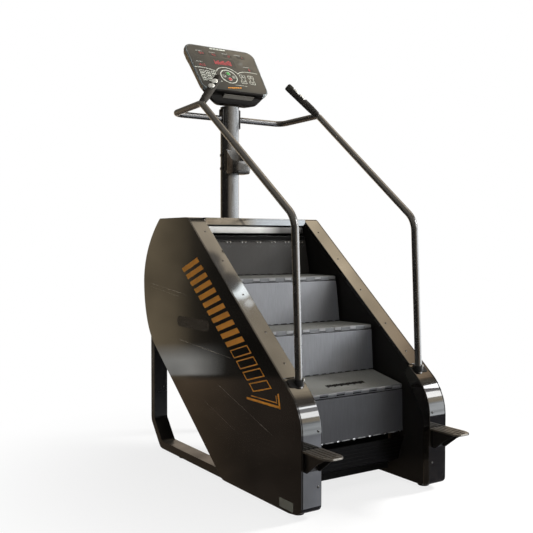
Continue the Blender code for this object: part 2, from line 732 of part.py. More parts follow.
def tapered_rect(half_low, half_high, v0, v1, r_low, r_high):
    """Rounded trapezium with its own half widths and corner radii below and above."""
    steps = 5
    corners = ((half_high - r_low, v0 + r_low, r_low, -90),
               (half_high - r_high, v1 - r_high, r_high, 0),
               (r_high - half_high, v1 - r_high, r_high, 90),
               (r_low - half_high, v0 + r_low, r_low, 180))
    points = []
    for cx, cv, radius, start in corners:
        for i in range(steps + 1):
            angle = math.radians(start + 90 * i / steps)
            points.append((cx + radius * math.cos(angle), cv + radius * math.sin(angle)))
    return [(x * (half_low + (half_high - half_low) * (v - v0) / (v1 - v0)) / half_high, v)
            for x, v in points]


def shrink(points, margin):
    """Scale an outline so that each of its extents moves in by the margin."""
    v0, v1 = min(v for _, v in points), max(v for _, v in points)
    half = max(x for x, _ in points)
    middle = (v0 + v1) / 2
    return [(x * (half - margin) / half,
             middle + (v - middle) * ((v1 - v0) / 2 - margin) / ((v1 - v0) / 2))
            for x, v in points]


def loft(sections):
    """Solid through sections (outline, n) in console coordinates."""
    return skin([[on_console(x, v, n) for x, v in outline] for outline, n in sections])


def add_console_face():
    rim = tapered_rect(0.2085, 0.2260, -0.1745, 0.1745, 0.046, 0.058)
    rim_front = tapered_rect(0.2055, 0.2230, -0.1715, 0.1715, 0.043, 0.055)
    face = add_part("console_face", loft([(rim, -0.0200), (rim, -0.0040), (rim_front, 0.0)]),
                    FACE, CONSOLE_CENTRE, smooth=30)
    for _, x, v, _ in CONSOLE_BUTTONS:
        cut(face, rod(on_console(x, v, 0.010), on_console(x, v, -0.0100), BUTTON_HOLE_R, 20))


def add_console_shell():
    """Hollow shell behind the face, narrowing to the back."""
    front = tapered_rect(0.2065, 0.2240, -0.1725, 0.1725, 0.045, 0.057)
    edge = tapered_rect(0.1980, 0.2220, -0.1745, 0.1700, 0.045, 0.056)
    middle = tapered_rect(0.150, 0.205, -0.206, 0.150, 0.042, 0.050)
    back = tapered_rect(0.105, 0.130, -0.185, 0.040, 0.032, 0.032)
    shell = add_part("console_back_shell",
                     loft([(front, -0.0204), (edge, -0.0330), (middle, -0.0600),
                           (back, -0.0990)]), PLASTIC, CONSOLE_CENTRE, smooth=30)
    cut(shell, loft([(shrink(front, 0.004), -0.0150), (shrink(front, 0.004), -0.0204),
                     (shrink(edge, 0.004), -0.0330), (shrink(middle, 0.005), -0.0585),
                     (shrink(back, 0.005), -0.0945)]))


def add_control_board():
    sheet = rounded_rect(-0.120, -0.090, 0.120, 0.060, 0.006, 2)
    board = add_part("control_board", loft([(sheet, -0.0480), (sheet, -0.0500)]), BOARD,
                     CONSOLE_CENTRE)
    for x, v, w, h in CHIPS:
        chip = rounded_rect(x - w / 2, v - h / 2, x + w / 2, v + h / 2, 0.001, 1)
        join(board, loft([(chip, -0.0440), (chip, -0.0485)]))


def add_console_buttons():
    for name, x, v, mat in CONSOLE_BUTTONS:
        base = on_console(x, v, -0.0060)
        add_part(name, turned(base, base + FACE_OUT * 0.0085, BUTTON_RINGS, 20), mat, base,
                 smooth=35)


# ------------------------------------------------------------------ handrails and grips
TUBE_R = 0.016                   # handrail tube
RAIL_BEND_RADII = [0.110, 0.060, 0.050]
JUNCTION = (0.354, 0.372, 1.782)     # where the grip branches off
GRIP_END = (0.210, 0.456, 1.938)
GRIP_SPIGOT_R = 0.0150
GRIP_START = 0.0443              # junction to the near end of the rubber
GRIP_R = 0.0200
GRIP_FACE = (0.45, -0.60, 0.66)      # rough direction the buttons face
GRIP_BUTTONS = (0.0565, 0.0975)      # distance back from the grip's end
GRIP_BUTTON_HOLE_R = 0.0125
# scooped thumb rest: (distance back from the grip's end, height above its axis)
THUMB_REST = [(0.028, 0.030), (0.031, 0.0205), (0.038, 0.0105), (0.0745, 0.0105),
              (0.0755, 0.0150), (0.0785, 0.0150), (0.0795, 0.0105), (0.1168, 0.0105),
              (0.1230, 0.0205), (0.1250, 0.030)]
THUMB_REST_HALF = 0.030
# wide domed button: (height, radius)
GRIP_BUTTON_RINGS = [(0.0, 0.0118), (0.0084, 0.0118), (0.0085, 0.0172), (0.0117, 0.0172),
                     (0.0142, 0.0130), (0.0155, 0.0060)]


def add_handrail(side, sign):
    """Tube from the nose up and back to the column, with a spigot for the grip."""
    points = [RAIL_FOOT, RAIL_KNEE, JUNCTION, (0.339, 0.700, 1.775), (0.0530, 0.700, 1.775)]
    path = fillet_path([mirror_x(sign, point) for point in points], RAIL_BEND_RADII, 5)
    rail = add_part(f"{side}_handrail", sweep(path, circle((0, 0), TUBE_R, 12), (1, 0, 0)),
                    RAIL_PAINT, smooth=40)
    start, end = mirror_x(sign, JUNCTION), mirror_x(sign, GRIP_END)
    along = (end - start).normalized()
    join(rail, rod(start + along * 0.002, start + along * 0.0440, GRIP_SPIGOT_R, 12))
    # plate against the column
    join(rail, prism(rounded_rect(0.684, 1.733, 0.716, 1.817, 0.006, 2),
                     side_span(sign, 0.0503, 0.0563)))


def add_grip(side, sign):
    """Rubber grip with a scooped thumb rest that holds two wide domed buttons."""
    start, end = mirror_x(sign, JUNCTION), mirror_x(sign, GRIP_END)
    along = (end - start).normalized()
    length = (end - start).length - GRIP_START
    rings = [(0.0, 0.0170), (0.003, GRIP_R), (length - 0.006, GRIP_R), (length, 0.0150)]
    grip = add_part(f"{side}_grip", turned(start + along * GRIP_START, end, rings, 24), RUBBER,
                    smooth=35)
    outward = mirror_x(sign, GRIP_FACE)
    outward = (outward - along * outward.dot(along)).normalized()
    across = along.cross(outward)

    def on_grip(back, height, width=0):
        return end - along * back + outward * height + across * width

    cut(grip, skin([[on_grip(back, height, width) for back, height in THUMB_REST]
                    for width in centred(THUMB_REST_HALF)]))
    for i, back in enumerate(GRIP_BUTTONS):
        cut(grip, rod(on_grip(back, 0.0015), on_grip(back, 0.030), GRIP_BUTTON_HOLE_R, 20))
        base = on_grip(back, 0.0040)
        add_part(f"{side}_grip_button_{i + 1}",
                 turned(base, on_grip(back, 0.0195), GRIP_BUTTON_RINGS, 24), WHITE, base,
                 smooth=35)


# ------------------------------------------------------------------ pedals and feet
# right pedal plate in plan (x, y), and the side profile of the bracket under it
PEDAL_PLATE = [(0.302, -0.5295), (0.397, -0.5295), (0.3995, -0.650), (0.385, -0.683),
               (0.368, -0.690), (0.322, -0.690), (0.306, -0.676), (0.302, -0.655)]
PEDAL_BRACKET = [(-0.5293, 0.2790), (-0.5293, 0.1950), (-0.5450, 0.1950), (-0.6100, 0.2450),
                 (-0.6650, 0.2790)]
# levelling foot, a pad and its stud: (height, radius)
FOOT_RINGS = [(0.0, 0.0240), (0.003, 0.0260), (0.0070, 0.0260), (0.0115, 0.0180),
              (0.01155, 0.0058), (0.0400, 0.0058)]


def add_foot_pedal(side, sign):
    # reversing the mirrored plate keeps its winding
    plate = [(x * sign, y) for x, y in PEDAL_PLATE][::sign]
    pedal = add_part(f"{side}_foot_pedal", prism(plate, (0.2760, 0.2840), axis=2), SATIN_BLACK)
    join(pedal, prism(PEDAL_BRACKET, side_span(sign, 0.318, 0.386)))


def add_feet():
    for place, (x, y) in FEET.items():
        add_part(f"{place}_foot", turned((x, y, 0.0), (x, y, 0.040), FOOT_RINGS, 20), RUBBER,
                 (x, y, 0.0), smooth=35)


# ------------------------------------------------------------------ assembly
for side_name, side_sign in SIDES:
    for add in (add_base_rail, add_frame_truss, add_bearings, add_side_panel, add_inner_wall,
                add_top_trim, add_nose_cover, add_step_chain, add_handrail, add_grip,
                add_foot_pedal):
        add(side_name, side_sign)
for add in (add_cross_beams, add_upper_bridge, add_top_cap, add_rear_cover, add_kick_cover,
            add_steps, add_return_steps, add_shafts, add_drive_pulley, add_brake,
            add_drive_belt, add_column, add_bottle_holder, add_console_face,
            add_console_shell, add_control_board, add_console_buttons, add_feet):
    add()

for ob in bpy.data.objects:
    ob.location.y += DATUM_Y
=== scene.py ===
"""Looks for the stepmill: finer covers, steps, rails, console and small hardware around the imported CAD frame."""
import math

import bmesh
import bpy
import numpy as np
from mathutils import Matrix, Vector


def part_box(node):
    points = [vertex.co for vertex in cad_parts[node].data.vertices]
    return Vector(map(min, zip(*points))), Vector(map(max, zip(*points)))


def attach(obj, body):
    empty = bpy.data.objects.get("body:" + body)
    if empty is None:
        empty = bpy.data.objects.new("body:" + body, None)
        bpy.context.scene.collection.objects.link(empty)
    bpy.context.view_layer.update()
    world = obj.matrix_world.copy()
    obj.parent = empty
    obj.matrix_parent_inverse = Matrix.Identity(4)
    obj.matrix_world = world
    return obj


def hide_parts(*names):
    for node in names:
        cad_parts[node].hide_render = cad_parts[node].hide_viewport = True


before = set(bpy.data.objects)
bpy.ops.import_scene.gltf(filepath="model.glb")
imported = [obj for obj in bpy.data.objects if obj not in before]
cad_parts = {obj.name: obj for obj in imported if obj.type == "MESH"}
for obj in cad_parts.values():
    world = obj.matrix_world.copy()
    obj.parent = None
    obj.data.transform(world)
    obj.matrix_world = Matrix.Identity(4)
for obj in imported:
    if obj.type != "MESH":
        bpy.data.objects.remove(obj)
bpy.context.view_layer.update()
scene = bpy.context.scene

# ---------------------------------------------------------------- dimensions, in the stair datum
HALF_W, SKIN, BAND_IN, NOSE_IN = 0.400, 0.004, 0.3088, 0.2985
TOP_Z, TOP_REAR_Y, TOP_FRONT_Y = 1.229, 0.746, 0.439
FRONT_Y, SLOPE_Z_AT_FRONT, NOSE_TANGENT, BOTTOM_Z = -0.529, 0.4365, 0.105, 0.010
REAR_BULGE, DIAGONAL_HIGH, DIAGONAL_LOW = (0.945, 0.890), (0.864, 0.597), (0.096, 0.010)
STEP_HALF = 0.297
NOSING = [(0.410, 1.137), (0.142, 0.934), (-0.136, 0.711), (-0.354, 0.455)]
CORNER = [(0.365, 0.936), (0.107, 0.706), (-0.151, 0.495), (-0.360, 0.237)]
TREAD_ENDS = [(0.630, 1.132), CORNER[0], CORNER[1], CORNER[2]]
RAIL_X, TUBE_R = 0.335, 0.016
CONSOLE_C = Vector((0.0, 0.722, 2.049))
V = Vector((0.0, 0.596, 0.803)).normalized()
N = Vector((0.0, -0.803, 0.596)).normalized()
JUNCTION, GRIP_END = Vector((0.354, 0.372, 1.782)), Vector((0.210, 0.456, 1.938))
GRIP_R, GRIP_FACE, GRIP_BUTTONS = 0.0200, (0.45, -0.60, 0.66), (0.0565, 0.0975)
START_XV, STOP_XV = (-0.0110, -0.0340), (-0.0110, -0.0760)
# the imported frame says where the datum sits
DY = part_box("left_side_panel")[0].y - FRONT_Y
STEP_BODY = {0: "step_run", 1: "step_run", 2: "step_run"}


def smoothstep(t):
    t = max(0.0, min(1.0, t))
    return t * t * (3 - 2 * t)


# ---------------------------------------------------------------- materials
def nodes_of(m):
    m.use_nodes = True
    nt = m.node_tree
    return nt, nt.nodes, nt.links, nt.nodes["Principled BSDF"]


def noise_node(nt, scale, detail=4.0, stretch=(1, 1, 1), rough=0.55, distortion=0.0):
    tc = nt.nodes.new("ShaderNodeTexCoord")
    mp = nt.nodes.new("ShaderNodeMapping")
    mp.inputs["Scale"].default_value = stretch
    nz = nt.nodes.new("ShaderNodeTexNoise")
    nz.inputs["Scale"].default_value = scale
    nz.inputs["Detail"].default_value = detail
    nz.inputs["Roughness"].default_value = rough
    nz.inputs["Distortion"].default_value = distortion
    nt.links.new(tc.outputs["Object"], mp.inputs["Vector"])
    nt.links.new(mp.outputs["Vector"], nz.inputs["Vector"])
    return nz


def ramp_node(nt, source, stops, interp="LINEAR"):
    r = nt.nodes.new("ShaderNodeValToRGB")
    r.color_ramp.interpolation = interp
    e = r.color_ramp.elements
    while len(e) < len(stops):
        e.new(0.5)
    for i, (p, c) in enumerate(stops):
        e[i].position = p
        e[i].color = (*c, 1.0) if len(c) == 3 else c
    nt.links.new(source, r.inputs["Fac"])
    return r


def math_node(nt, op, a, b=None, clamp=False):
    n = nt.nodes.new("ShaderNodeMath")
    n.operation = op
    n.use_clamp = clamp
    for i, s in enumerate((a, b)):
        if s is None:
            continue
        if isinstance(s, (int, float)):
            n.inputs[i].default_value = s
        else:
            nt.links.new(s, n.inputs[i])
    return n.outputs[0]


def remap(nt, source, a, b, c, d):
    m = nt.nodes.new("ShaderNodeMapRange")
    m.inputs["From Min"].default_value, m.inputs["From Max"].default_value = a, b
    m.inputs["To Min"].default_value, m.inputs["To Max"].default_value = c, d
    nt.links.new(source, m.inputs["Value"])
    return m.outputs["Result"]


def mix_rgb(nt, fac, a, b, blend="MIX"):
    m = nt.nodes.new("ShaderNodeMix")
    m.data_type = "RGBA"
    m.blend_type = blend
    m.clamp_factor = True
    for sock, s in ((m.inputs[0], fac), (m.inputs[6], a), (m.inputs[7], b)):
        if isinstance(s, (int, float)):
            sock.default_value = s
        elif isinstance(s, tuple):
            sock.default_value = (*s, 1.0)
        else:
            nt.links.new(s, sock)
    return m.outputs[2]


def object_axis(nt, axis):
    tc = nt.nodes.new("ShaderNodeTexCoord")
    sp = nt.nodes.new("ShaderNodeSeparateXYZ")
    nt.links.new(tc.outputs["Object"], sp.inputs[0])
    return sp.outputs[axis]


def add_bump(nt, bsdf, heights, strength=0.3, distance=0.001):
    """Chains height sources into the surface normal."""
    last = None
    for h, s, d in heights:
        b = nt.nodes.new("ShaderNodeBump")
        b.inputs["Strength"].default_value = s
        b.inputs["Distance"].default_value = d
        nt.links.new(h, b.inputs["Height"])
        if last is not None:
            nt.links.new(last, b.inputs["Normal"])
        last = b.outputs["Normal"]
    nt.links.new(last, bsdf.inputs["Normal"])


def basic(name, colour, rough, metal=0.0, vary=0.18, scale=9.0, bump=(380.0, 0.12, 0.0004), rough_vary=0.08,
          coat=0.0, coat_rough=0.05, spec=0.5, stretch=(1, 1, 1), tint=None, dust=0.0):
    """Principled surface whose colour, roughness and fine relief all follow object-space noise."""
    m = bpy.data.materials.new(name)
    nt, nd, ln, p = nodes_of(m)
    big = noise_node(nt, scale, 5.0, stretch)
    fine = noise_node(nt, bump[0], 3.0, stretch)
    lo = tuple(max(0.0, c * (1 - vary)) for c in colour)
    hi = tuple(min(1.0, c * (1 + vary)) for c in (tint or colour))
    ln.new(ramp_node(nt, big.outputs["Fac"], [(0.30, lo), (0.70, hi)]).outputs["Color"], p.inputs["Base Color"])
    ln.new(remap(nt, big.outputs["Fac"], 0.3, 0.7, max(0.02, rough - rough_vary), min(1.0, rough + rough_vary)), p.inputs["Roughness"])
    p.inputs["Metallic"].default_value = metal
    p.inputs["Specular IOR Level"].default_value = spec
    p.inputs["Coat Weight"].default_value = coat
    p.inputs["Coat Roughness"].default_value = coat_rough
    add_bump(nt, p, [(fine.outputs["Fac"], bump[1], bump[2])])
    return m


def gloss_sheet(name, dark, warm, spec=0.5, coat=1.0, peel=0.05, pale_lines=(), rough=0.10):
    """Sprayed gloss black under clear coat: faint orange peel, cloudy wipe marks and a few long thin pale lines given
    as (y0, z0, y1, z1, half width, strength) in the side plane."""
    m = bpy.data.materials.new(name)
    nt, nd, ln, p = nodes_of(m)
    cloud = noise_node(nt, 3.2, 4.0, (1, 0.6, 1.7), distortion=0.6)
    base = ramp_node(nt, cloud.outputs["Fac"], [(0.38, dark), (0.70, warm)]).outputs["Color"]
    rough_out = remap(nt, cloud.outputs["Fac"], 0.3, 0.7, rough, rough + 0.05)
    y, z = object_axis(nt, "Y"), object_axis(nt, "Z")
    grit = noise_node(nt, 60.0, 3.0, (1, 0.15, 0.6))
    # thin pale lines, blended into the base colour with a rougher finish
    for y0, z0, y1, z1, half, strength in pale_lines:
        k = (z1 - z0) / (y1 - y0)
        rel = math_node(nt, "SUBTRACT", z, math_node(nt, "ADD", math_node(nt, "MULTIPLY", math_node(nt, "SUBTRACT", y, y0 + DY), k), z0))
        rel = math_node(nt, "ABSOLUTE", rel)
        on = remap(nt, rel, half * 0.4, half, 1.0, 0.0)
        lo_y, hi_y = min(y0, y1) + DY, max(y0, y1) + DY
        ends = math_node(nt, "MULTIPLY", remap(nt, y, lo_y, lo_y + 0.04, 0.0, 1.0), remap(nt, y, hi_y - 0.04, hi_y, 1.0, 0.0))
        on = math_node(nt, "MULTIPLY", math_node(nt, "MULTIPLY", on, ends), remap(nt, grit.outputs["Fac"], 0.35, 0.6, 0.15, 1.0))
        base = mix_rgb(nt, math_node(nt, "MULTIPLY", on, strength), base, (0.46, 0.41, 0.34))
        rough_out = math_node(nt, "ADD", rough_out, math_node(nt, "MULTIPLY", on, 0.2))
    ln.new(base, p.inputs["Base Color"])
    ln.new(rough_out, p.inputs["Roughness"])
    p.inputs["Specular IOR Level"].default_value = spec
    p.inputs["Coat Weight"].default_value = coat
    p.inputs["Coat Roughness"].default_value = 0.03
    p.inputs["Coat IOR"].default_value = 1.5
    add_bump(nt, p, [(noise_node(nt, 210.0, 2.0).outputs["Fac"], peel, 0.0002), (noise_node(nt, 5.5, 2.0).outputs["Fac"], 0.08, 0.0016)])
    return m


def ribbed_metal(name, colour, tint, rough, pitch, depth, metal=0.75, axis="X", darker_low=None, z_range=(0, 1)):
    """Satin metal with fine ribs, painted shade darkening their hollows, drawn grain along them, and greyer patches."""
    m = bpy.data.materials.new(name)
    nt, nd, ln, p = nodes_of(m)
    a = object_axis(nt, axis)
    wave = math_node(nt, "SINE", math_node(nt, "MULTIPLY", a, 2 * math.pi / pitch))
    crest = remap(nt, wave, -1.0, 1.0, 0.0, 1.0)
    grain = noise_node(nt, 260.0, 3.0, (1, 0.05, 0.05) if axis == "X" else (0.05, 1, 0.05))
    cloud = noise_node(nt, 4.0, 4.0, (1, 1, 0.7), distortion=0.4)
    c = ramp_node(nt, cloud.outputs["Fac"], [(0.30, colour), (0.72, tint)]).outputs["Color"]
    # painted shade: rib hollows mixed towards a darker colour
    c = mix_rgb(nt, remap(nt, crest, 0.0, 0.35, 0.30, 0.0), c, tuple(v * 0.55 for v in colour))
    c = mix_rgb(nt, remap(nt, grain.outputs["Fac"], 0.35, 0.65, 0.0, 0.22), c, tuple(min(1, v * 1.4) for v in tint))
    ln.new(c, p.inputs["Base Color"])
    p.inputs["Metallic"].default_value = metal
    ln.new(remap(nt, cloud.outputs["Fac"], 0.3, 0.7, rough - 0.06, rough + 0.08), p.inputs["Roughness"])
    add_bump(nt, p, [(crest, 0.9, depth), (grain.outputs["Fac"], 0.12, 0.0004)])
    return m


PANEL = gloss_sheet("side panel gloss black", (0.0014, 0.0012, 0.0010), (0.0034, 0.0027, 0.0020), peel=0.02, rough=0.02,
                    pale_lines=((0.868, 0.885, 0.430, 0.843, 0.0022, 0.75), (0.868, 0.868, 0.500, 0.828, 0.0016, 0.55), (0.537, 0.616, 0.011, 0.583, 0.0022, 0.75),
                               (0.150, 0.452, -0.330, 0.300, 0.0018, 0.60), (0.300, 0.360, -0.060, 0.250, 0.0014, 0.45)))
PANELR = gloss_sheet("right side panel gloss black", (0.0014, 0.0012, 0.0010), (0.0034, 0.0027, 0.0020), peel=0.02, rough=0.02)
REAR = gloss_sheet("rear cover gloss black", (0.0040, 0.0034, 0.0028), (0.0100, 0.0085, 0.0070), peel=0.04)
TRIM = gloss_sheet("trim gloss black", (0.0050, 0.0044, 0.0038), (0.0110, 0.0095, 0.0078), peel=0.05, rough=0.05)
INNER = basic("inner wall satin black", (0.0105, 0.0098, 0.0090), 0.42, scale=5, spec=0.35)
KICKM = basic("kick cover black", (0.0024, 0.0021, 0.0018), 0.45, scale=7, spec=0.2)
FRAMEP = basic("frame paint", (0.0090, 0.0078, 0.0068), 0.34, scale=7, spec=0.6)
STEP = ribbed_metal("riser ribbed aluminium", (0.175, 0.183, 0.203), (0.215, 0.222, 0.238), 0.40, 0.0050, 0.0002, metal=0.40)
# dark copy of the riser metal for the upper riser: painted shade under the top cap
STEP_TOP_SHADED = ribbed_metal("upper riser painted shade", (0.0200, 0.0190, 0.0178), (0.0290, 0.0270, 0.0250), 0.52, 0.0050, 0.0002, metal=0.20)
STEP3 = ribbed_metal("lower riser shaded", (0.046, 0.047, 0.053), (0.060, 0.062, 0.069), 0.42, 0.0050, 0.0002, metal=0.35)
TREAD = ribbed_metal("tread ribbed top", (0.172, 0.175, 0.166), (0.226, 0.230, 0.218), 0.55, 0.0060, 0.0003, metal=0.25)
CLEAT = basic("nosing cleat", (0.235, 0.240, 0.245), 0.36, metal=0.45, vary=0.1, scale=40, bump=(700, 0.12, 0.0003))
NOSEBAR = basic("nosing bar", (0.135, 0.140, 0.148), 0.38, metal=0.45, vary=0.12, scale=30, bump=(500, 0.1, 0.0003))
# near-black: painted shade in gaps, recesses and shadowed parts; also the black anti-slip pad
SHADOW = basic("near-black painted shade and pad rubber", (0.004, 0.004, 0.004), 0.7, scale=30, spec=0.1)
ALU = basic("polished aluminium", (0.46, 0.46, 0.45), 0.34, metal=0.5, vary=0.06, scale=12, bump=(500, 0.05, 0.0003))
STEEL = basic("zinc plated steel", (0.55, 0.55, 0.54), 0.26, metal=1.0, vary=0.12, scale=60, bump=(600, 0.15, 0.0003))
CHAIN = basic("oiled chain steel", (0.16, 0.155, 0.15), 0.36, metal=1.0, vary=0.3, scale=60)
RAIL = basic("handrail gunmetal", (0.215, 0.214, 0.214), 0.27, metal=0.95, vary=0.10, scale=14, bump=(700, 0.012, 0.0002), coat=0.2,
             coat_rough=0.12)
COLM = basic("column grey metallic", (0.185, 0.187, 0.190), 0.24, metal=0.92, vary=0.07, scale=9, bump=(900, 0.02, 0.0002), coat=0.1)
GRIP = basic("grip foam rubber", (0.033, 0.030, 0.026), 0.66, vary=0.25, scale=30, bump=(1400, 0.06, 0.0004), spec=0.14)
CREAM = basic("button cream plastic", (0.80, 0.79, 0.72), 0.26, vary=0.06, scale=30, bump=(300, 0.05, 0.0003), coat=0.4)
RUBBER = basic("black rubber", (0.010, 0.010, 0.010), 0.60, vary=0.3, scale=50, bump=(900, 0.3, 0.0004), spec=0.3)
BELTM = basic("ribbed belt rubber", (0.014, 0.014, 0.014), 0.66, vary=0.3, scale=50, bump=(900, 0.3, 0.0004), spec=0.3)
FACE = basic("console face overlay", (0.031, 0.032, 0.0285), 0.40, vary=0.10, scale=14, bump=(1600, 0.10, 0.0002), coat=0.15)
BEZEL = basic("console bezel", (0.125, 0.145, 0.150), 0.34, vary=0.12, scale=10, bump=(1200, 0.15, 0.0002), coat=0.2)
SHELL = basic("console housing black", (0.0060, 0.0052, 0.0046), 0.46, vary=0.2, scale=12, bump=(1100, 0.15, 0.0003), spec=0.15)
# painted warm reflection on the side faces of the black console housing
SHELL_SIDE_PAINTED_REFLECTION = basic("console side painted warm reflection", (0.40, 0.30, 0.185), 0.42, vary=0.15, scale=12, bump=(1100, 0.3, 0.0003), spec=0.35)
PLASTIC = basic("holder black plastic", (0.012, 0.0115, 0.011), 0.24, vary=0.2, scale=18, bump=(1100, 0.01, 0.0003), spec=0.7)
BAR = basic("console grey bar", (0.078, 0.073, 0.062), 0.42, vary=0.1, scale=18, bump=(900, 0.2, 0.0003))
PRINT = basic("overlay white ink", (0.56, 0.58, 0.52), 0.45, vary=0.06, scale=60)
PRINTD = basic("overlay grey ink", (0.30, 0.31, 0.29), 0.45, vary=0.08, scale=60)
DARKINK = basic("overlay dark ink", (0.031, 0.032, 0.029), 0.40, vary=0.1, scale=60)
GREEN = basic("start button green", (0.05, 0.36, 0.08), 0.28, vary=0.08, scale=60, coat=0.4)
RED = basic("stop button red", (0.42, 0.04, 0.06), 0.28, vary=0.08, scale=60, coat=0.4)
ORANGE = basic("orange decal film", (0.94, 0.36, 0.028), 0.38, vary=0.07, scale=22, bump=(500, 0.05, 0.0002))
GHOST = basic("smoked decal film", (0.020, 0.0145, 0.0125), 0.24, vary=0.1, scale=22, spec=0.4)
LABEL = basic("pale rating plate", (0.30, 0.31, 0.27), 0.45, vary=0.06, scale=22, metal=0.2)
PCB = basic("circuit board", (0.02, 0.14, 0.055), 0.4, vary=0.2, scale=60)
PEDAL = ribbed_metal("pedal ribbed steel", (0.085, 0.075, 0.062), (0.150, 0.132, 0.110), 0.42, 0.0210, 0.0012, metal=0.55)
PEDALEDGE = basic("pale pedal front edge", (0.42, 0.40, 0.36), 0.34, metal=0.8, vary=0.25, scale=60, bump=(300, 0.3, 0.0005))
BRAKEM = basic("brake housing", (0.020, 0.021, 0.023), 0.4, metal=0.3, scale=18)


def led_material():
    """Lit red segments behind a smoked window."""
    m = bpy.data.materials.new("red led segment")
    nt, nd, ln, p = nodes_of(m)
    nz = noise_node(nt, 160.0, 2.0)
    c = ramp_node(nt, nz.outputs["Fac"], [(0.3, (0.34, 0.040, 0.050)), (0.7, (0.46, 0.075, 0.085))]).outputs["Color"]
    ln.new(c, p.inputs["Base Color"])
    ln.new(c, p.inputs["Emission Color"])
    p.inputs["Emission Strength"].default_value = 0.22
    p.inputs["Roughness"].default_value = 0.4
    add_bump(nt, p, [(nz.outputs["Fac"], 0.1, 0.0003)])
    return m


LED = led_material()


# ---------------------------------------------------------------- mesh helpers
def finish_mesh(name, bm, mat, body, *nodes, slot=None, smooth=35, bevel=None, seg=3, weighted=False):
    """Turns a bmesh in datum coordinates into a piece that rides on a CAD body."""
    for v in bm.verts:
        v.co.y += DY
    bmesh.ops.recalc_face_normals(bm, faces=bm.faces)
    me = bpy.data.meshes.new(name)
    bm.to_mesh(me)
    bm.free()
    ob = bpy.data.objects.new(name, me)
    scene.collection.objects.link(ob)
    mats = mat if isinstance(mat, (list, tuple)) else [mat]
    for mm in mats:
        me.materials.append(mm)
    if bevel:
        md = ob.modifiers.new("edge", "BEVEL")
        md.width, md.segments, md.limit_method, md.angle_limit = bevel, seg, "ANGLE", math.radians(28)
        md.harden_normals = True
    if smooth:
        me.shade_smooth()
        if not bevel:
            me.set_sharp_from_angle(angle=math.radians(smooth))
    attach(ob, body)
    if nodes:
        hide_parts(*nodes)
    return ob


def prism(bm, poly, axis, lo, hi, matrix=None, mi=0):
    """Extrudes a closed 2-D polygon along an axis. axis 0: points are (y, z); 1: (x, z); 2: (x, y)."""
    def at(q, t):
        p = (t, q[0], q[1]) if axis == 0 else (q[0], t, q[1]) if axis == 1 else (q[0], q[1], t)
        p = Vector(p)
        return matrix @ p if matrix is not None else p
    a = [bm.verts.new(at(q, lo)) for q in poly]
    b = [bm.verts.new(at(q, hi)) for q in poly]
    fs = [bm.faces.new(a), bm.faces.new(b[::-1])]
    for i in range(len(poly)):
        j = (i + 1) % len(poly)
        fs.append(bm.faces.new([a[j], a[i], b[i], b[j]]))
    for f in fs:
        f.material_index = mi
    return fs


def box(bm, lo, hi, mi=0, matrix=None):
    return prism(bm, [(lo[1], lo[2]), (hi[1], lo[2]), (hi[1], hi[2]), (lo[1], hi[2])], 0, lo[0], hi[0], matrix, mi)


def lathe(bm, p0, d, rings, n=24, mi=0):
    """Turned shape about p0 + d*s; rings are (s, radius); radius 0 closes to a point."""
    p0, d = Vector(p0), Vector(d).normalized()
    u = d.orthogonal().normalized()
    v = d.cross(u)
    loops = []
    for s, r in rings:
        if r <= 1e-9:
            loops.append([bm.verts.new(p0 + d * s)])
        else:
            loops.append([bm.verts.new(p0 + d * s + (u * math.cos(2 * math.pi * i / n) + v * math.sin(2 * math.pi * i / n)) * r) for i in range(n)])
    for a, b in zip(loops, loops[1:]):
        for i in range(n):
            j = (i + 1) % n
            if len(a) == 1 and len(b) == 1:
                continue
            if len(a) == 1:
                f = bm.faces.new([a[0], b[j], b[i]])
            elif len(b) == 1:
                f = bm.faces.new([a[i], a[j], b[0]])
            else:
                f = bm.faces.new([a[i], a[j], b[j], b[i]])
            f.material_index = mi
    if len(loops[0]) > 1:
        bm.faces.new(loops[0][::-1]).material_index = mi
    if len(loops[-1]) > 1:
        bm.faces.new(loops[-1]).material_index = mi


def dome(r, h, n=5, s0=0.0):
    return [(s0 + h * math.sin(math.pi / 2 * i / n), r * math.cos(math.pi / 2 * i / n)) for i in range(n)] + [(s0 + h, 0.0)]


def sweep(bm, path, section, ref=(1, 0, 0), mi=0, closed_ends=True, scales=None):
    path = [Vector(p) for p in path]
    n = len(path)
    loops, side = [], None
    for i, p in enumerate(path):
        d0 = (path[i] - path[i - 1]).normalized() if i else (path[1] - path[0]).normalized()
        d1 = (path[i + 1] - path[i]).normalized() if i < n - 1 else d0
        t = (d0 + d1).normalized()
        side = t.cross(Vector(ref)).normalized() if side is None else (side - t * side.dot(t)).normalized()
        up = side.cross(t).normalized()
        k = scales[i] if scales else 1.0
        loops.append([bm.verts.new(p + (side * a + up * b) * k) for a, b in section])
    m = len(section)
    for a, b in zip(loops, loops[1:]):
        for i in range(m):
            j = (i + 1) % m
            bm.faces.new([a[i], a[j], b[j], b[i]]).material_index = mi
    if closed_ends:
        bm.faces.new(loops[0]).material_index = mi
        bm.faces.new(loops[-1]).material_index = mi
    return loops


def circle(r, n=20, c=(0, 0)):
    return [(c[0] + r * math.cos(2 * math.pi * i / n), c[1] + r * math.sin(2 * math.pi * i / n)) for i in range(n)]


def rounded_rect(x0, y0, x1, y1, r, n=6):
    out = []
    for cx, cy, a in ((x1 - r, y0 + r, -90), (x1 - r, y1 - r, 0), (x0 + r, y1 - r, 90), (x0 + r, y0 + r, 180)):
        for i in range(n + 1):
            t = math.radians(a + 90 * i / n)
            out.append((cx + r * math.cos(t), cy + r * math.sin(t)))
    return out


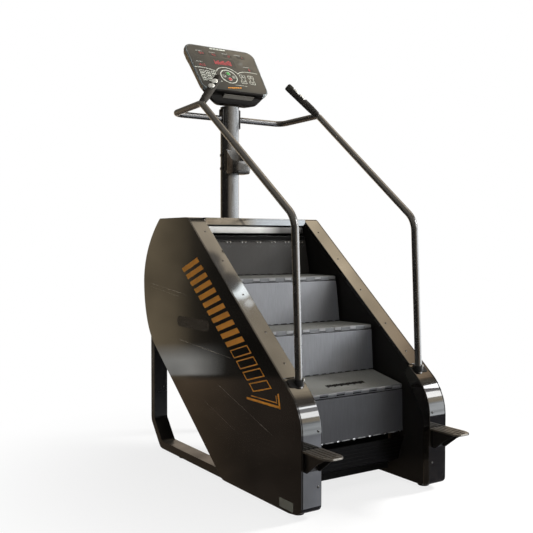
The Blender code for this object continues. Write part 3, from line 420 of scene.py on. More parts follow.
def fillet(points, radii, steps=12):
    pts = [Vector(p) for p in points]
    out = [pts[0]]
    for i in range(1, len(pts) - 1):
        a, b, c = pts[i - 1], pts[i], pts[i + 1]
        d0, d1 = (a - b).normalized(), (c - b).normalized()
        ang = d0.angle(d1)
        r = radii[i - 1]
        t = min(r / math.tan(ang / 2), 0.49 * min((a - b).length, (c - b).length))
        r = t * math.tan(ang / 2)
        centre = b + (d0 + d1).normalized() * (r / math.sin(ang / 2))
        s, e = b + d0 * t - centre, b + d1 * t - centre
        total = s.angle(e)
        for k in range(steps + 1):
            f = k / steps
            out.append(centre + (s * math.sin((1 - f) * total) + e * math.sin(f * total)) / math.sin(total))
    out.append(pts[-1])
    return out


def mx(sgn, lo, hi):
    return (lo, hi) if sgn > 0 else (-hi, -lo)


def bezier(p0, p1, p2, p3, n):
    out = []
    for i in range(n + 1):
        t = i / n
        a, b, c, d = (1 - t) ** 3, 3 * t * (1 - t) ** 2, 3 * t * t * (1 - t), t ** 3
        out.append((a * p0[0] + b * p1[0] + c * p2[0] + d * p3[0], a * p0[1] + b * p1[1] + c * p2[1] + d * p3[1]))
    return out


DIAG = Vector((DIAGONAL_HIGH[0] - DIAGONAL_LOW[0], DIAGONAL_HIGH[1] - DIAGONAL_LOW[1])).normalized()
SLOPE = Vector((TOP_FRONT_Y - FRONT_Y, TOP_Z - SLOPE_Z_AT_FRONT)).normalized()
SLOPE_UP = Vector((-SLOPE.y, SLOPE.x))
DIAG_TOP = (DIAGONAL_HIGH[0] - 0.055 * DIAG.x, DIAGONAL_HIGH[1] - 0.055 * DIAG.y)


def slope_z(y):
    return SLOPE_Z_AT_FRONT + (y - FRONT_Y) * SLOPE.y / SLOPE.x


def rear_curve(n=26):
    c, b, a = DIAG_TOP, REAR_BULGE, (TOP_REAR_Y, TOP_Z)
    low = bezier(c, (c[0] + 0.10 * DIAG.x, c[1] + 0.10 * DIAG.y), (b[0], b[1] - 0.135), b, n)
    high = bezier(b, (b[0], b[1] + 0.135), (a[0] + 0.108, a[1] - 0.083), a, n)
    return low + high[1:]


def nose_curve(n=28):
    corner = Vector((FRONT_Y, SLOPE_Z_AT_FRONT))
    p, q = corner + SLOPE * NOSE_TANGENT, corner + Vector((0, -1)) * NOSE_TANGENT
    ang = math.pi - SLOPE.angle(Vector((0, 1)))
    r = NOSE_TANGENT * math.tan(ang / 2)
    c = q + Vector((r, 0))
    a0 = math.atan2(p.y - c.y, p.x - c.x)
    return [(c.x + r * math.cos(a0 + (math.pi - a0) * i / n), c.y + r * math.sin(a0 + (math.pi - a0) * i / n)) for i in range(n + 1)]


def foot_curve(n=12):
    return bezier((FRONT_Y, 0.052), (FRONT_Y, 0.030), (-0.505, 0.016), (-0.440, BOTTOM_Z), n)


def soften(poly, idx_points, r, n=5):
    """Rounds the listed corner points of a closed polygon."""
    out = []
    m = len(poly)
    for i, p in enumerate(poly):
        if any(abs(p[0] - q[0]) + abs(p[1] - q[1]) < 1e-6 for q in idx_points):
            a, b, c = Vector(poly[i - 1]), Vector(p), Vector(poly[(i + 1) % m])
            d0, d1 = (a - b), (c - b)
            t = min(r, 0.45 * d0.length, 0.45 * d1.length)
            s, e = b + d0.normalized() * t, b + d1.normalized() * t
            for k in range(n + 1):
                f = k / n
                out.append(tuple(s * (1 - f) ** 2 + b * 2 * f * (1 - f) + e * f * f))
        else:
            out.append(tuple(p))
    return out


def offset(points, d, closed=True):
    n = len(points)
    out = []
    for i in range(n):
        p = Vector(points[i])
        a = Vector(points[i - 1]) if (closed or i) else None
        b = Vector(points[(i + 1) % n]) if (closed or i < n - 1) else None
        e0 = (p - a).normalized() if a is not None else (b - p).normalized()
        e1 = (b - p).normalized() if b is not None else e0
        n0, n1 = Vector((-e0.y, e0.x)), Vector((-e1.y, e1.x))
        m = n0 + n1
        m = m / max(m.length_squared / 2, 1e-6)
        out.append((p.x + m.x * d, p.y + m.y * d))
    return out


FULL = foot_curve() + [DIAGONAL_LOW] + rear_curve() + [(TOP_FRONT_Y, TOP_Z)] + nose_curve()
FULL = soften(FULL, [(TOP_FRONT_Y, TOP_Z), (TOP_REAR_Y, TOP_Z)], 0.014)
FULL = soften(FULL, [DIAGONAL_LOW], 0.02)


def screw(bm, c, d, r=0.0045, h=0.0022, mi=0, socket_mi=1):
    """Button-head screw with a recessed hexagon."""
    c, d = Vector(c), Vector(d).normalized()
    lathe(bm, c, d, [(0.0, r), (h * 0.35, r), (h * 0.8, r * 0.78), (h, r * 0.48), (h * 0.995, r * 0.45), (h * 0.55, r * 0.42)], 14, mi)
    # the hexagon socket takes its own material; near-black there is painted shade in the recess
    lathe(bm, c, d, [(h * 0.50, r * 0.42), (h * 0.60, r * 0.40)], 6, socket_mi)


def hex_bolt(bm, c, d, af=0.013, h=0.006, mi=0):
    c, d = Vector(c), Vector(d).normalized()
    lathe(bm, c, d, [(0.0, af * 0.78), (0.0012, af * 0.78)], 20, mi)
    lathe(bm, c, d, [(0.0010, af * 0.55), (h, af * 0.577), (h + 0.0007, af * 0.50)], 6, mi)


# ---------------------------------------------------------------- side housings
for side, sgn in (("left", -1), ("right", 1)):
    lo, hi = mx(sgn, HALF_W - SKIN, HALF_W)
    bm = bmesh.new()
    prism(bm, FULL, 0, lo, hi)
    finish_mesh(f"{side}_side_panel_sheet", bm, PANEL if side == "left" else PANELR, "frame", f"{side}_side_panel", slot="gloss_panel", bevel=0.0013)

    # sloping top trim with eased edges, and the front nose cover
    end = (-0.3900, slope_z(-0.3900))
    path = soften([(TOP_REAR_Y - 0.004, TOP_Z), (TOP_FRONT_Y, TOP_Z), end], [(TOP_FRONT_Y, TOP_Z)], 0.014)
    lo, hi = mx(sgn, BAND_IN, 0.3955)
    bm = bmesh.new()
    prism(bm, path + offset(path, 0.017, False)[::-1], 0, lo, hi)
    finish_mesh(f"{side}_top_trim_cover", bm, TRIM, "frame", f"{side}_top_trim", slot="gloss_trim", bevel=0.0028, seg=4)

    start = (-0.3915, slope_z(-0.3915))
    nose = [start] + nose_curve() + foot_curve(12)[:9]
    back = Vector(start) + Vector((SLOPE.y, -SLOPE.x)) * 0.045
    tail = foot_curve(12)[8]
    lo, hi = mx(sgn, NOSE_IN, 0.3955)
    bm = bmesh.new()
    prism(bm, nose + [(tail[0] + 0.004, 0.330), tuple(back)], 0, lo, hi)
    finish_mesh(f"{side}_nose_cover_shell", bm, TRIM, "frame", f"{side}_nose_cover", slot="gloss_trim", bevel=0.0042, seg=4)

# ---------------------------------------------------------------- rear cover: curved sheet with a service hatch and louvres
rear_path = [(0.205, DIAGONAL_LOW[1] + (0.205 - DIAGONAL_LOW[0]) * DIAG.y / DIAG.x)] + rear_curve(30)
rear_path[-1] = (rear_path[-1][0] + 0.004, rear_path[-1][1] - 0.004)
outer, inner = offset(rear_path, 0.001, False), offset(rear_path, 0.004, False)
bm = bmesh.new()
prism(bm, outer + inner[::-1], 0, -0.3945, 0.3945)
ob = finish_mesh("rear_cover_sheet", bm, REAR, "frame", "rear_cover", slot="gloss_panel", bevel=0.0010, seg=2)
legs = bmesh.new()
for sgn in (-1, 1):
    lo, hi = mx(sgn, 0.3125, 0.3990)
    box(legs, (lo, 0.8280, 0.4000), (hi, 0.8780, 0.7300))
for v in legs.verts:
    v.co.y += DY
bmesh.ops.recalc_face_normals(legs, faces=legs.faces)
me = bpy.data.meshes.new("leg_slots")
legs.to_mesh(me)
legs.free()
cutter = bpy.data.objects.new("leg_slots", me)
scene.collection.objects.link(cutter)
ob.modifiers.clear()
md = ob.modifiers.new("slots", "BOOLEAN")
md.operation, md.solver, md.object = "DIFFERENCE", "EXACT", cutter
dg = bpy.context.evaluated_depsgraph_get()
new = bpy.data.meshes.new_from_object(ob.evaluated_get(dg))
ob.modifiers.clear()
ob.data = new
new.shade_smooth()
new.set_sharp_from_angle(angle=math.radians(30))
bpy.data.objects.remove(cutter, do_unlink=True)


def along(path, s):
    """Point and inward normal at arc length s of an open (y, z) path."""
    for a, b in zip(path, path[1:]):
        a, b = Vector(a), Vector(b)
        l = (b - a).length
        if s <= l:
            d = (b - a) / l
            return a + d * s, Vector((-d.y, d.x)), d
        s -= l
    return b, Vector((-d.y, d.x)), d


def arc_plate(bm, s0, s1, x0, x1, t0, t1, steps=10, mi=0):
    """Plate that follows the rear curve between two arc lengths, offset t0..t1 outwards."""
    pts = [along(outer, s0 + (s1 - s0) * i / steps) for i in range(steps + 1)]
    o = [tuple(p - n * t1) for p, n, d in pts]
    i_ = [tuple(p - n * t0) for p, n, d in pts]
    prism(bm, o + i_[::-1], 0, x0, x1, None, mi)


bm = bmesh.new()
arc_plate(bm, 0.700, 1.080, -0.250, 0.250, -0.0005, 0.0016)
finish_mesh("rear_service_hatch", bm, REAR, "frame", slot="gloss_panel", bevel=0.0008, seg=2)
bm = bmesh.new()
for k in range(9):
    for x0 in (-0.190, 0.030):
        arc_plate(bm, 0.745 + k * 0.018, 0.753 + k * 0.018, x0, x0 + 0.160, 0.0012, 0.0046, 3)
finish_mesh("rear_louvre_blades", bm, SHELL, "frame", slot="dark_plastic", bevel=0.0008, seg=2)
bm = bmesh.new()
for sx in (-0.235, 0.235):
    for s in (0.715, 0.890, 1.065):
        p, n, d = along(outer, s)
        screw(bm, (sx, p.x - n.x * 0.0014, p.y - n.y * 0.0014), (0, -n.x, -n.y), 0.0055, 0.0026)
for sx in (-0.375, 0.375):
    for s in (0.30, 0.60, 1.10, 1.30):
        p, n, d = along(outer, s)
        screw(bm, (sx, p.x, p.y), (0, -n.x, -n.y), 0.0055, 0.0026)
finish_mesh("rear_cover_screws", bm, [STEEL, SHADOW], "frame", slot="machine_steel", smooth=30)

# ---------------------------------------------------------------- top cap with its front lip, and the polished ledge
bm = bmesh.new()
box(bm, (-0.3082, 0.4200, 1.2255), (0.3082, 0.6578, 1.2285))
box(bm, (-0.3082, 0.6578, 1.2255), (-0.0522, 0.7420, 1.2285))
box(bm, (0.0522, 0.6578, 1.2255), (0.3082, 0.7420, 1.2285))
finish_mesh("top_cap_sheet", bm, TRIM, "frame", "top_cap", slot="gloss_trim", bevel=0.0010, seg=2)
bm = bmesh.new()
lip = rounded_rect(0.4190, 1.1925, 0.4232, 1.2283, 0.0018, 4)
prism(bm, lip, 0, -0.3060, 0.3060)
CAPLIP = basic("cap lip brushed, painted reflection", (0.20, 0.175, 0.14), 0.14, metal=0.85, vary=0.16, scale=7, bump=(700, 0.08, 0.0003), stretch=(1, 1, 2), tint=(0.24, 0.21, 0.17))
cnt_ = CAPLIP.node_tree
cp_ = cnt_.nodes["Principled BSDF"]
cx_, cz_ = object_axis(cnt_, "X"), object_axis(cnt_, "Z")
# painted reflection: the lip's colour shifts from tan to blue-grey along X, with a dark diagonal streak
lip_painted_reflection = mix_rgb(cnt_, remap(cnt_, cx_, -0.08, 0.0, 0.0, 1.0), cp_.inputs["Base Color"].links[0].from_socket, (0.27, 0.28, 0.29))
painted_streak_dist = math_node(cnt_, "ABSOLUTE", math_node(cnt_, "ADD", math_node(cnt_, "ADD", cx_, 0.095), math_node(cnt_, "MULTIPLY", math_node(cnt_, "SUBTRACT", cz_, 1.2104), 0.8)))
lip_painted_reflection = mix_rgb(cnt_, remap(cnt_, painted_streak_dist, 0.004, 0.013, 0.75, 0.0), lip_painted_reflection, (0.05, 0.045, 0.04))
cnt_.links.new(lip_painted_reflection, cp_.inputs["Base Color"])
finish_mesh("top_cap_front_lip", bm, CAPLIP, "frame", slot="gloss_trim", smooth=50)
bm = bmesh.new()
led = soften([(0.4390, 1.1500), (0.4225, 1.1520), (0.4285, 1.1860), (0.4390, 1.1890)], [(0.4225, 1.1520), (0.4285, 1.1860)], 0.003, 4)
prism(bm, led, 0, -0.2960, 0.2960)
LEDGE = basic("ledge satin strip, painted shade", (0.42, 0.42, 0.41), 0.34, metal=0.4, vary=0.08, scale=12, bump=(700, 0.05, 0.0003))
lnt = LEDGE.node_tree
lp_ = lnt.nodes["Principled BSDF"]
src = lp_.inputs["Base Color"].links[0].from_socket
# painted shade: the ledge darkens towards its right end, where the right housing shades it
lnt.links.new(mix_rgb(lnt, remap(lnt, object_axis(lnt, "X"), 0.02, 0.15, 0.0, 1.0), src, (0.035, 0.034, 0.033)), lp_.inputs["Base Color"])
finish_mesh("upper_ledge_bar", bm, LEDGE, "frame", slot="step_aluminium", smooth=60)

# ---------------------------------------------------------------- steps
def riser_frame(k):
    n, b = Vector(NOSING[k]), Vector(CORNER[k])
    d = (b - n).normalized()          # down the face
    out = Vector((d.y, -d.x))         # towards the user
    if out.x > 0:
        out = -out
    return n, b, d, out


def face_prism(bm, k, x0, x1, s0, s1, t0, t1, mi=0):
    """Block on a riser's front face: x range, distance down the face, height range proud of it."""
    n, b, d, out = riser_frame(k)
    q = [n + d * s0 + out * t0, n + d * s1 + out * t0, n + d * s1 + out * t1, n + d * s0 + out * t1]
    prism(bm, [tuple(p) for p in q], 0, x0, x1, None, mi)


CLEAT_X = [(-3 + i) * 0.0915 for i in range(7)]
for k in range(4):
    n, b, d, out = riser_frame(k)
    body_r = "lower_riser" if k == 3 else "step_run"
    body_t = "lower_tread" if k == 3 else "step_run"
    length = (b - n).length
    mat_r = {0: STEP_TOP_SHADED, 3: STEP3}.get(k, STEP)
    # ribbed riser skin: real shallow ribs over the CAD plate
    bm = bmesh.new()
    s0, s1 = 0.0245, length - 0.0065
    pitch, depth = 0.0074, 0.00045
    cols = int(round(2 * STEP_HALF / pitch))
    prof = []
    for i in range(cols):
        x = -STEP_HALF + 2 * STEP_HALF * i / cols
        w = 2 * STEP_HALF / cols
        prof += [(x, 0.0003), (x + w * 0.15, depth), (x + w * 0.80, depth), (x + w * 0.95, 0.0003)]
    prof.append((STEP_HALF, 0.0003))
    top = [bm.verts.new((x, *(n + d * s0 + out * h))) for x, h in prof]
    bot = [bm.verts.new((x, *(n + d * s1 + out * h))) for x, h in prof]
    tb = [bm.verts.new((x, *(n + d * s0 - out * 0.0010))) for x, h in (prof[0], prof[-1])]
    bb = [bm.verts.new((x, *(n + d * s1 - out * 0.0010))) for x, h in (prof[0], prof[-1])]
    for i in range(len(prof) - 1):
        bm.faces.new([top[i], top[i + 1], bot[i + 1], bot[i]])
    bm.faces.new([tb[0], bb[0], bb[1], tb[1]])
    bm.faces.new(top[::-1] + [tb[0], tb[1]])
    bm.faces.new(bot + [bb[1], bb[0]])
    bm.faces.new([top[0], bot[0], bb[0], tb[0]])
    bm.faces.new([top[-1], tb[1], bb[1], bot[-1]])
    finish_mesh(f"riser_{k}_ribbed_skin", bm, mat_r, body_r, slot="step_aluminium", smooth=20)
    # hinge line along the foot of the riser: a dark seam of short pieces, painted shade in the hinge gap; steel
    # knuckles on the lowest riser
    bm = bmesh.new()
    if k < 3:
        for i in range(13):
            x = -0.282 + i * 0.047
            w = 0.032 if i % 2 else 0.026
            face_prism(bm, k, x - w / 2, x + w / 2, length - 0.0062, length - 0.0030, 0.0002, 0.0012)
        finish_mesh(f"riser_{k}_foot_seam", bm, SHADOW, body_r, slot="step_aluminium", bevel=0.0003, seg=1)
    else:
        for i in range(7):
            x = -0.2640 + 0.0900 * i
            if x < 0.29:
                face_prism(bm, k, x - 0.006, x + 0.006, length - 0.0075, length - 0.0015, 0.0002, 0.0030, 0)
            if x + 0.045 < 0.29:
                face_prism(bm, k, x + 0.022, x + 0.066, length - 0.0068, length - 0.0022, 0.0002, 0.0022, 1)
        finish_mesh("riser_3_foot_knuckles", bm, [STEEL, CLEAT], body_r, slot="machine_steel", bevel=0.0006, seg=2)
    # nosing bar and cleats belong to the tread
    bm = bmesh.new()
    nose = Vector(NOSING[k])
    e = (Vector(TREAD_ENDS[k]) - nose).normalized()
    up = Vector((-e.y, e.x))
    arc = [nose + e * 0.0045 + up * 0.0003]
    for i in range(9):
        t = math.pi / 2 * i / 8
        arc.append(nose + e * (0.0040 - 0.0043 * math.sin(t)) + up * (0.0003 - 0.0043 + 0.0043 * math.cos(t)))
    arc.append(nose - e * 0.0003 - up * 0.0205)
    arc.append(nose + e * 0.0010 - up * 0.0205)
    arc.append(nose + e * 0.0010 - up * 0.0010)
    prism(bm, [tuple(p) for p in arc], 0, -STEP_HALF + 0.0005, STEP_HALF - 0.0005)
    # the top step's nosing bar takes the near-black material: painted shade under the top cap
    finish_mesh(f"tread_{k}_nosing_bar", bm, SHADOW if k == 0 else NOSEBAR, body_t, slot="step_aluminium", smooth=40)
    bm = bmesh.new()
    if 0 < k < 3:
        for x in CLEAT_X:
            q = [nose - e * 0.0003 - up * 0.0018, nose - e * 0.0022 - up * 0.0026, nose - e * 0.0024 - up * 0.0145, nose - e * 0.0003 - up * 0.0155]
            prism(bm, [tuple(p) for p in q], 0, x - 0.0185, x + 0.0185, None, 0)
            # near-black strips along each cleat's lower and right edges: painted shade
            q = [nose - e * 0.0003 - up * 0.0155, nose - e * 0.0011 - up * 0.0155, nose - e * 0.0011 - up * 0.0180, nose - e * 0.0003 - up * 0.0180]
            prism(bm, [tuple(p) for p in q], 0, x - 0.0185, x + 0.0205, None, 1)
            q = [nose - e * 0.0003 - up * 0.0030, nose - e * 0.0012 - up * 0.0030, nose - e * 0.0012 - up * 0.0175, nose - e * 0.0003 - up * 0.0175]
            prism(bm, [tuple(p) for p in q], 0, x + 0.0187, x + 0.0207, None, 1)
        finish_mesh(f"tread_{k}_nosing_cleats", bm, [CLEAT, SHADOW], body_t, slot="step_aluminium", bevel=0.0004, seg=2)
    elif k == 3:
        # bright rounded lip; near-black strips below it are painted shade in the clearance gaps
        for i in range(7):
            x = -0.2475 + 0.0925 * i
            q = [nose - e * 0.0003 - up * 0.0110, nose - e * 0.0012 - up * 0.0110, nose - e * 0.0012 - up * 0.0160, nose - e * 0.0003 - up * 0.0160]
            w = 0.0225
            if x + w < STEP_HALF:
                prism(bm, [tuple(p) for p in q], 0, x - w, x + w, None, 1)
        for i in range(6):
            x = -0.2012 + 0.0925 * i
            q = [nose - e * 0.0003 - up * 0.0020, nose - e * 0.0026 - up * 0.0030, nose - e * 0.0026 - up * 0.0095, nose - e * 0.0003 - up * 0.0110]
            if x + 0.02 < STEP_HALF:
                prism(bm, [tuple(p) for p in q], 0, x - 0.0225, x + 0.0225, None, 0)
        finish_mesh("tread_3_front_lip_knuckles", bm, [CLEAT, SHADOW], body_t, slot="step_aluminium", bevel=0.0004, seg=2)
    # ribbed tread top skin
    bm = bmesh.new()
    r_end = Vector(TREAD_ENDS[k]) - e * 0.0010
    s_len = (r_end - nose).length
    prof = []
    pitch = 0.0118
    cols = int(round(2 * STEP_HALF / pitch))
    for i in range(cols):
        x = -STEP_HALF + 2 * STEP_HALF * i / cols
        w = 2 * STEP_HALF / cols
        prof += [(x, 0.0002), (x + w * 0.2, 0.0011), (x + w * 0.7, 0.0011), (x + w * 0.9, 0.0002)]
    prof.append((STEP_HALF, 0.0002))
    a0, a1 = nose + e * 0.0050, nose + e * (s_len - (0.012 if k == 0 else 0.004))
    top = [bm.verts.new((x, *(a0 + up * h))) for x, h in prof]
    bot = [bm.verts.new((x, *(a1 + up * h))) for x, h in prof]
    tb = [bm.verts.new((x, *(a0 - up * 0.0008))) for x, h in (prof[0], prof[-1])]
    bb = [bm.verts.new((x, *(a1 - up * 0.0008))) for x, h in (prof[0], prof[-1])]
    for i in range(len(prof) - 1):
        bm.faces.new([top[i], top[i + 1], bot[i + 1], bot[i]])
    bm.faces.new([tb[0], bb[0], bb[1], tb[1]])
    bm.faces.new(top[::-1] + [tb[0], tb[1]])
    bm.faces.new(bot + [bb[1], bb[0]])
    bm.faces.new([top[0], bot[0], bb[0], tb[0]])
    bm.faces.new([top[-1], tb[1], bb[1], bot[-1]])
    finish_mesh(f"tread_{k}_ribbed_top", bm, TREAD, body_t, slot="step_aluminium", smooth=20)

# screws and rivets on the upper riser, with near-black patches between the screw pairs as painted shadow
bm = bmesh.new()
n, b, d, out = riser_frame(0)
for i in range(7):
    x = -0.2730 + 0.0897 * i
    for dx in (-0.0100, 0.0100):
        p = n + d * 0.0330 + out * 0.0006
        lathe(bm, (x + dx, *p), (0, *out), [(0, 0.0046), (0.0016, 0.0046), (0.0034, 0.0030), (0.0040, 0.0)], 12, 0)
    for j in range(5):
        p = n + d * (0.0500 + (j % 2) * 0.0070) + out * 0.0006
        lathe(bm, (x - 0.016 + 0.008 * j, *p), (0, *out), [(0, 0.0016), (0.0010, 0.0014), (0.0012, 0.0)], 8, 1)
    if i < 6:
        for j in range(3):
            xc = x + 0.0270 + 0.0180 * j
            face_prism(bm, 0, xc - 0.0070, xc + 0.0070, 0.0262 + 0.0010 * (j % 2), 0.0318 + 0.0010 * (j % 2), 0.0004, 0.0011, 2)
finish_mesh("riser_0_screws", bm, [STEEL, NOSEBAR, SHADOW], "step_run", slot="machine_steel", smooth=40)

# anti-slip pad let into the lowest tread
nose = Vector(NOSING[3])
e = (Vector(TREAD_ENDS[3]) - nose).normalized()
up = Vector((-e.y, e.x))
bm = bmesh.new()
for i in range(18):
    x = -0.0830 + 0.0122 * i
    h = 0.0030 * (1 if i % 3 else -1)
    a, c = nose + e * (0.0620 + h), nose + e * (0.0860 + 0.5 * h)
    q = [a + up * 0.0008, c + up * 0.0008, c + up * 0.0016, a + up * 0.0016]
    prism(bm, [tuple(p) for p in q], 0, x - 0.0052, x + 0.0052)
a, c = nose + e * 0.0650, nose + e * 0.0820
q = [a + up * 0.0008, c + up * 0.0008, c + up * 0.0014, a + up * 0.0014]
prism(bm, [tuple(p) for p in q], 0, -0.0850, 0.1290)
finish_mesh("tread_3_anti_slip_pad", bm, SHADOW, "lower_tread", slot="belt_rubber", bevel=0.0003, seg=1)

# ---------------------------------------------------------------- kick cover with pressed ribs
KICK = [(-0.356, 0.212), (-0.318, 0.100), (-0.175, 0.028)]
bm = bmesh.new()
for (a, b) in zip(KICK, KICK[1:]):
    a, b = Vector(a), Vector(b)
    d = (b - a).normalized()
    nn = Vector((d.y, -d.x))
    if nn.x > 0:
        nn = -nn
    m = int((b - a).length / 0.019)
    for i in range(m):
        c = a + d * (0.012 + i * 0.019)
        q = [c - d * 0.0045 + nn * 0.0002, c + d * 0.0045 + nn * 0.0002, c + d * 0.0028 + nn * 0.0009, c - d * 0.0028 + nn * 0.0009]
        prism(bm, [tuple(p) for p in q], 0, -0.302, 0.302)
finish_mesh("kick_cover_ribs", bm, KICKM, "frame", slot="satin_sheet", bevel=0.0005, seg=2)

# near-black sheet behind the lowest riser's foot: painted shade hiding the lit parts behind it
bm = bmesh.new()
box(bm, (-0.262, -0.3010, 0.060), (0.262, -0.2995, 0.262))
finish_mesh("riser_foot_painted_shade_sheet", bm, SHADOW, "frame", slot="satin_sheet")

# ---------------------------------------------------------------- column, flanges, bottle holder
bm = bmesh.new()
sec = []
for i in range(72):
    t = 2 * math.pi * i / 72
    sec.append((0.0500 * math.copysign(abs(math.cos(t)) ** (2 / 2.7), math.cos(t)), 0.700 + 0.0400 * math.copysign(abs(math.sin(t)) ** (2 / 2.7), math.sin(t))))
prism(bm, sec, 2, 1.2003, 1.8393)
finish_mesh("column_tube", bm, COLM, "frame", "console_column", slot="rail_paint", smooth=30)
bm = bmesh.new()
sec = rounded_rect(-0.0525, 0.6575, 0.0525, 0.7425, 0.0325, 12)
for z0, z1 in ((1.2290, 1.2350),):
    prism(bm, sec, 2, z0, z1)
finish_mesh("column_base_collar", bm, COLM, "frame", slot="rail_paint", bevel=0.0015)
for side, sgn in (("left", -1), ("right", 1)):
    bm = bmesh.new()
    lo, hi = mx(sgn, 0.0500, 0.0560)
    prism(bm, rounded_rect(0.6790, 1.7230, 0.7210, 1.8270, 0.008, 6), 0, lo, hi)
    finish_mesh(f"{side}_rail_flange_plate", bm, FRAMEP, "frame", slot="rail_paint", bevel=0.0012)
    bm = bmesh.new()
    for z in (1.7330, 1.8170):
        hex_bolt(bm, (0.0558 * sgn, 0.700, z), (sgn, 0, 0), 0.0125, 0.006)
    finish_mesh(f"{side}_rail_flange_bolts", bm, CHAIN, "frame", slot="machine_steel", smooth=30)

# holder: tapered cup with a sloping rim, clamped to the column by a band
bm = bmesh.new()
def holder_ring(z, inset, r, slope):
    pts = rounded_rect(-0.060 + inset, 0.560 + inset, 0.060 - inset, 0.6597 - min(inset, 0.0040), r, 10)
    out_ = []
    for x, y in pts:
        zz = z
        if slope:
            t = smoothstep((0.655 - y) / 0.095)
            zz = z - 0.068 * t
        out_.append((x, y, zz))
    return out_
rings = [holder_ring(1.4700, 0.0100, 0.026, False), holder_ring(1.4720, 0.0050, 0.030, False), holder_ring(1.4780, 0.0018, 0.033, False),
         holder_ring(1.4900, 0.0, 0.034, False), holder_ring(1.6020, 0.0, 0.034, True), holder_ring(1.6046, 0.0010, 0.033, True),
         holder_ring(1.6050, 0.0022, 0.032, True), holder_ring(1.6040, 0.0034, 0.031, True), holder_ring(1.6000, 0.0040, 0.030, True)]
low = [(x, y, 1.482) for x, y, z in holder_ring(1.482, 0.0040, 0.030, False)]
rings.append(low)
loops = [[bm.verts.new(p) for p in ring] for ring in rings]
for a, b in zip(loops, loops[1:]):
    for i in range(len(a)):
        j = (i + 1) % len(a)
        bm.faces.new([a[i], a[j], b[j], b[i]])
bm.faces.new(loops[0][::-1])
bm.faces.new(loops[-1])
CUPM = basic("holder cup plastic, painted reflection", (0.028, 0.026, 0.0235), 0.24, vary=0.2, scale=18, bump=(1100, 0.01, 0.0003), spec=0.9)
hnt = CUPM.node_tree
hp_ = hnt.nodes["Principled BSDF"]
# painted reflection: the cup's left face is coloured warm brown
hnt.links.new(mix_rgb(hnt, remap(hnt, object_axis(hnt, "X"), -0.0590, -0.0540, 1.0, 0.0), hp_.inputs["Base Color"].links[0].from_socket, (0.150, 0.112, 0.080)), hp_.inputs["Base Color"])
finish_mesh("bottle_holder_cup", bm, CUPM, "frame", "bottle_holder", slot="dark_plastic", smooth=45)
bm = bmesh.new()
for z0, z1 in ((1.500, 1.512), (1.572, 1.584)):
    a = rounded_rect(-0.0520, 0.6580, 0.0520, 0.7420, 0.032, 12)
    prism(bm, a, 2, z0, z1)
prism(bm, rounded_rect(0.6300, 1.4900, 0.6560, 1.6040, 0.004, 4), 0, -0.0610, -0.0585)
finish_mesh("bottle_holder_clamp_bands", bm, PLASTIC, "frame", slot="dark_plastic", bevel=0.0010)

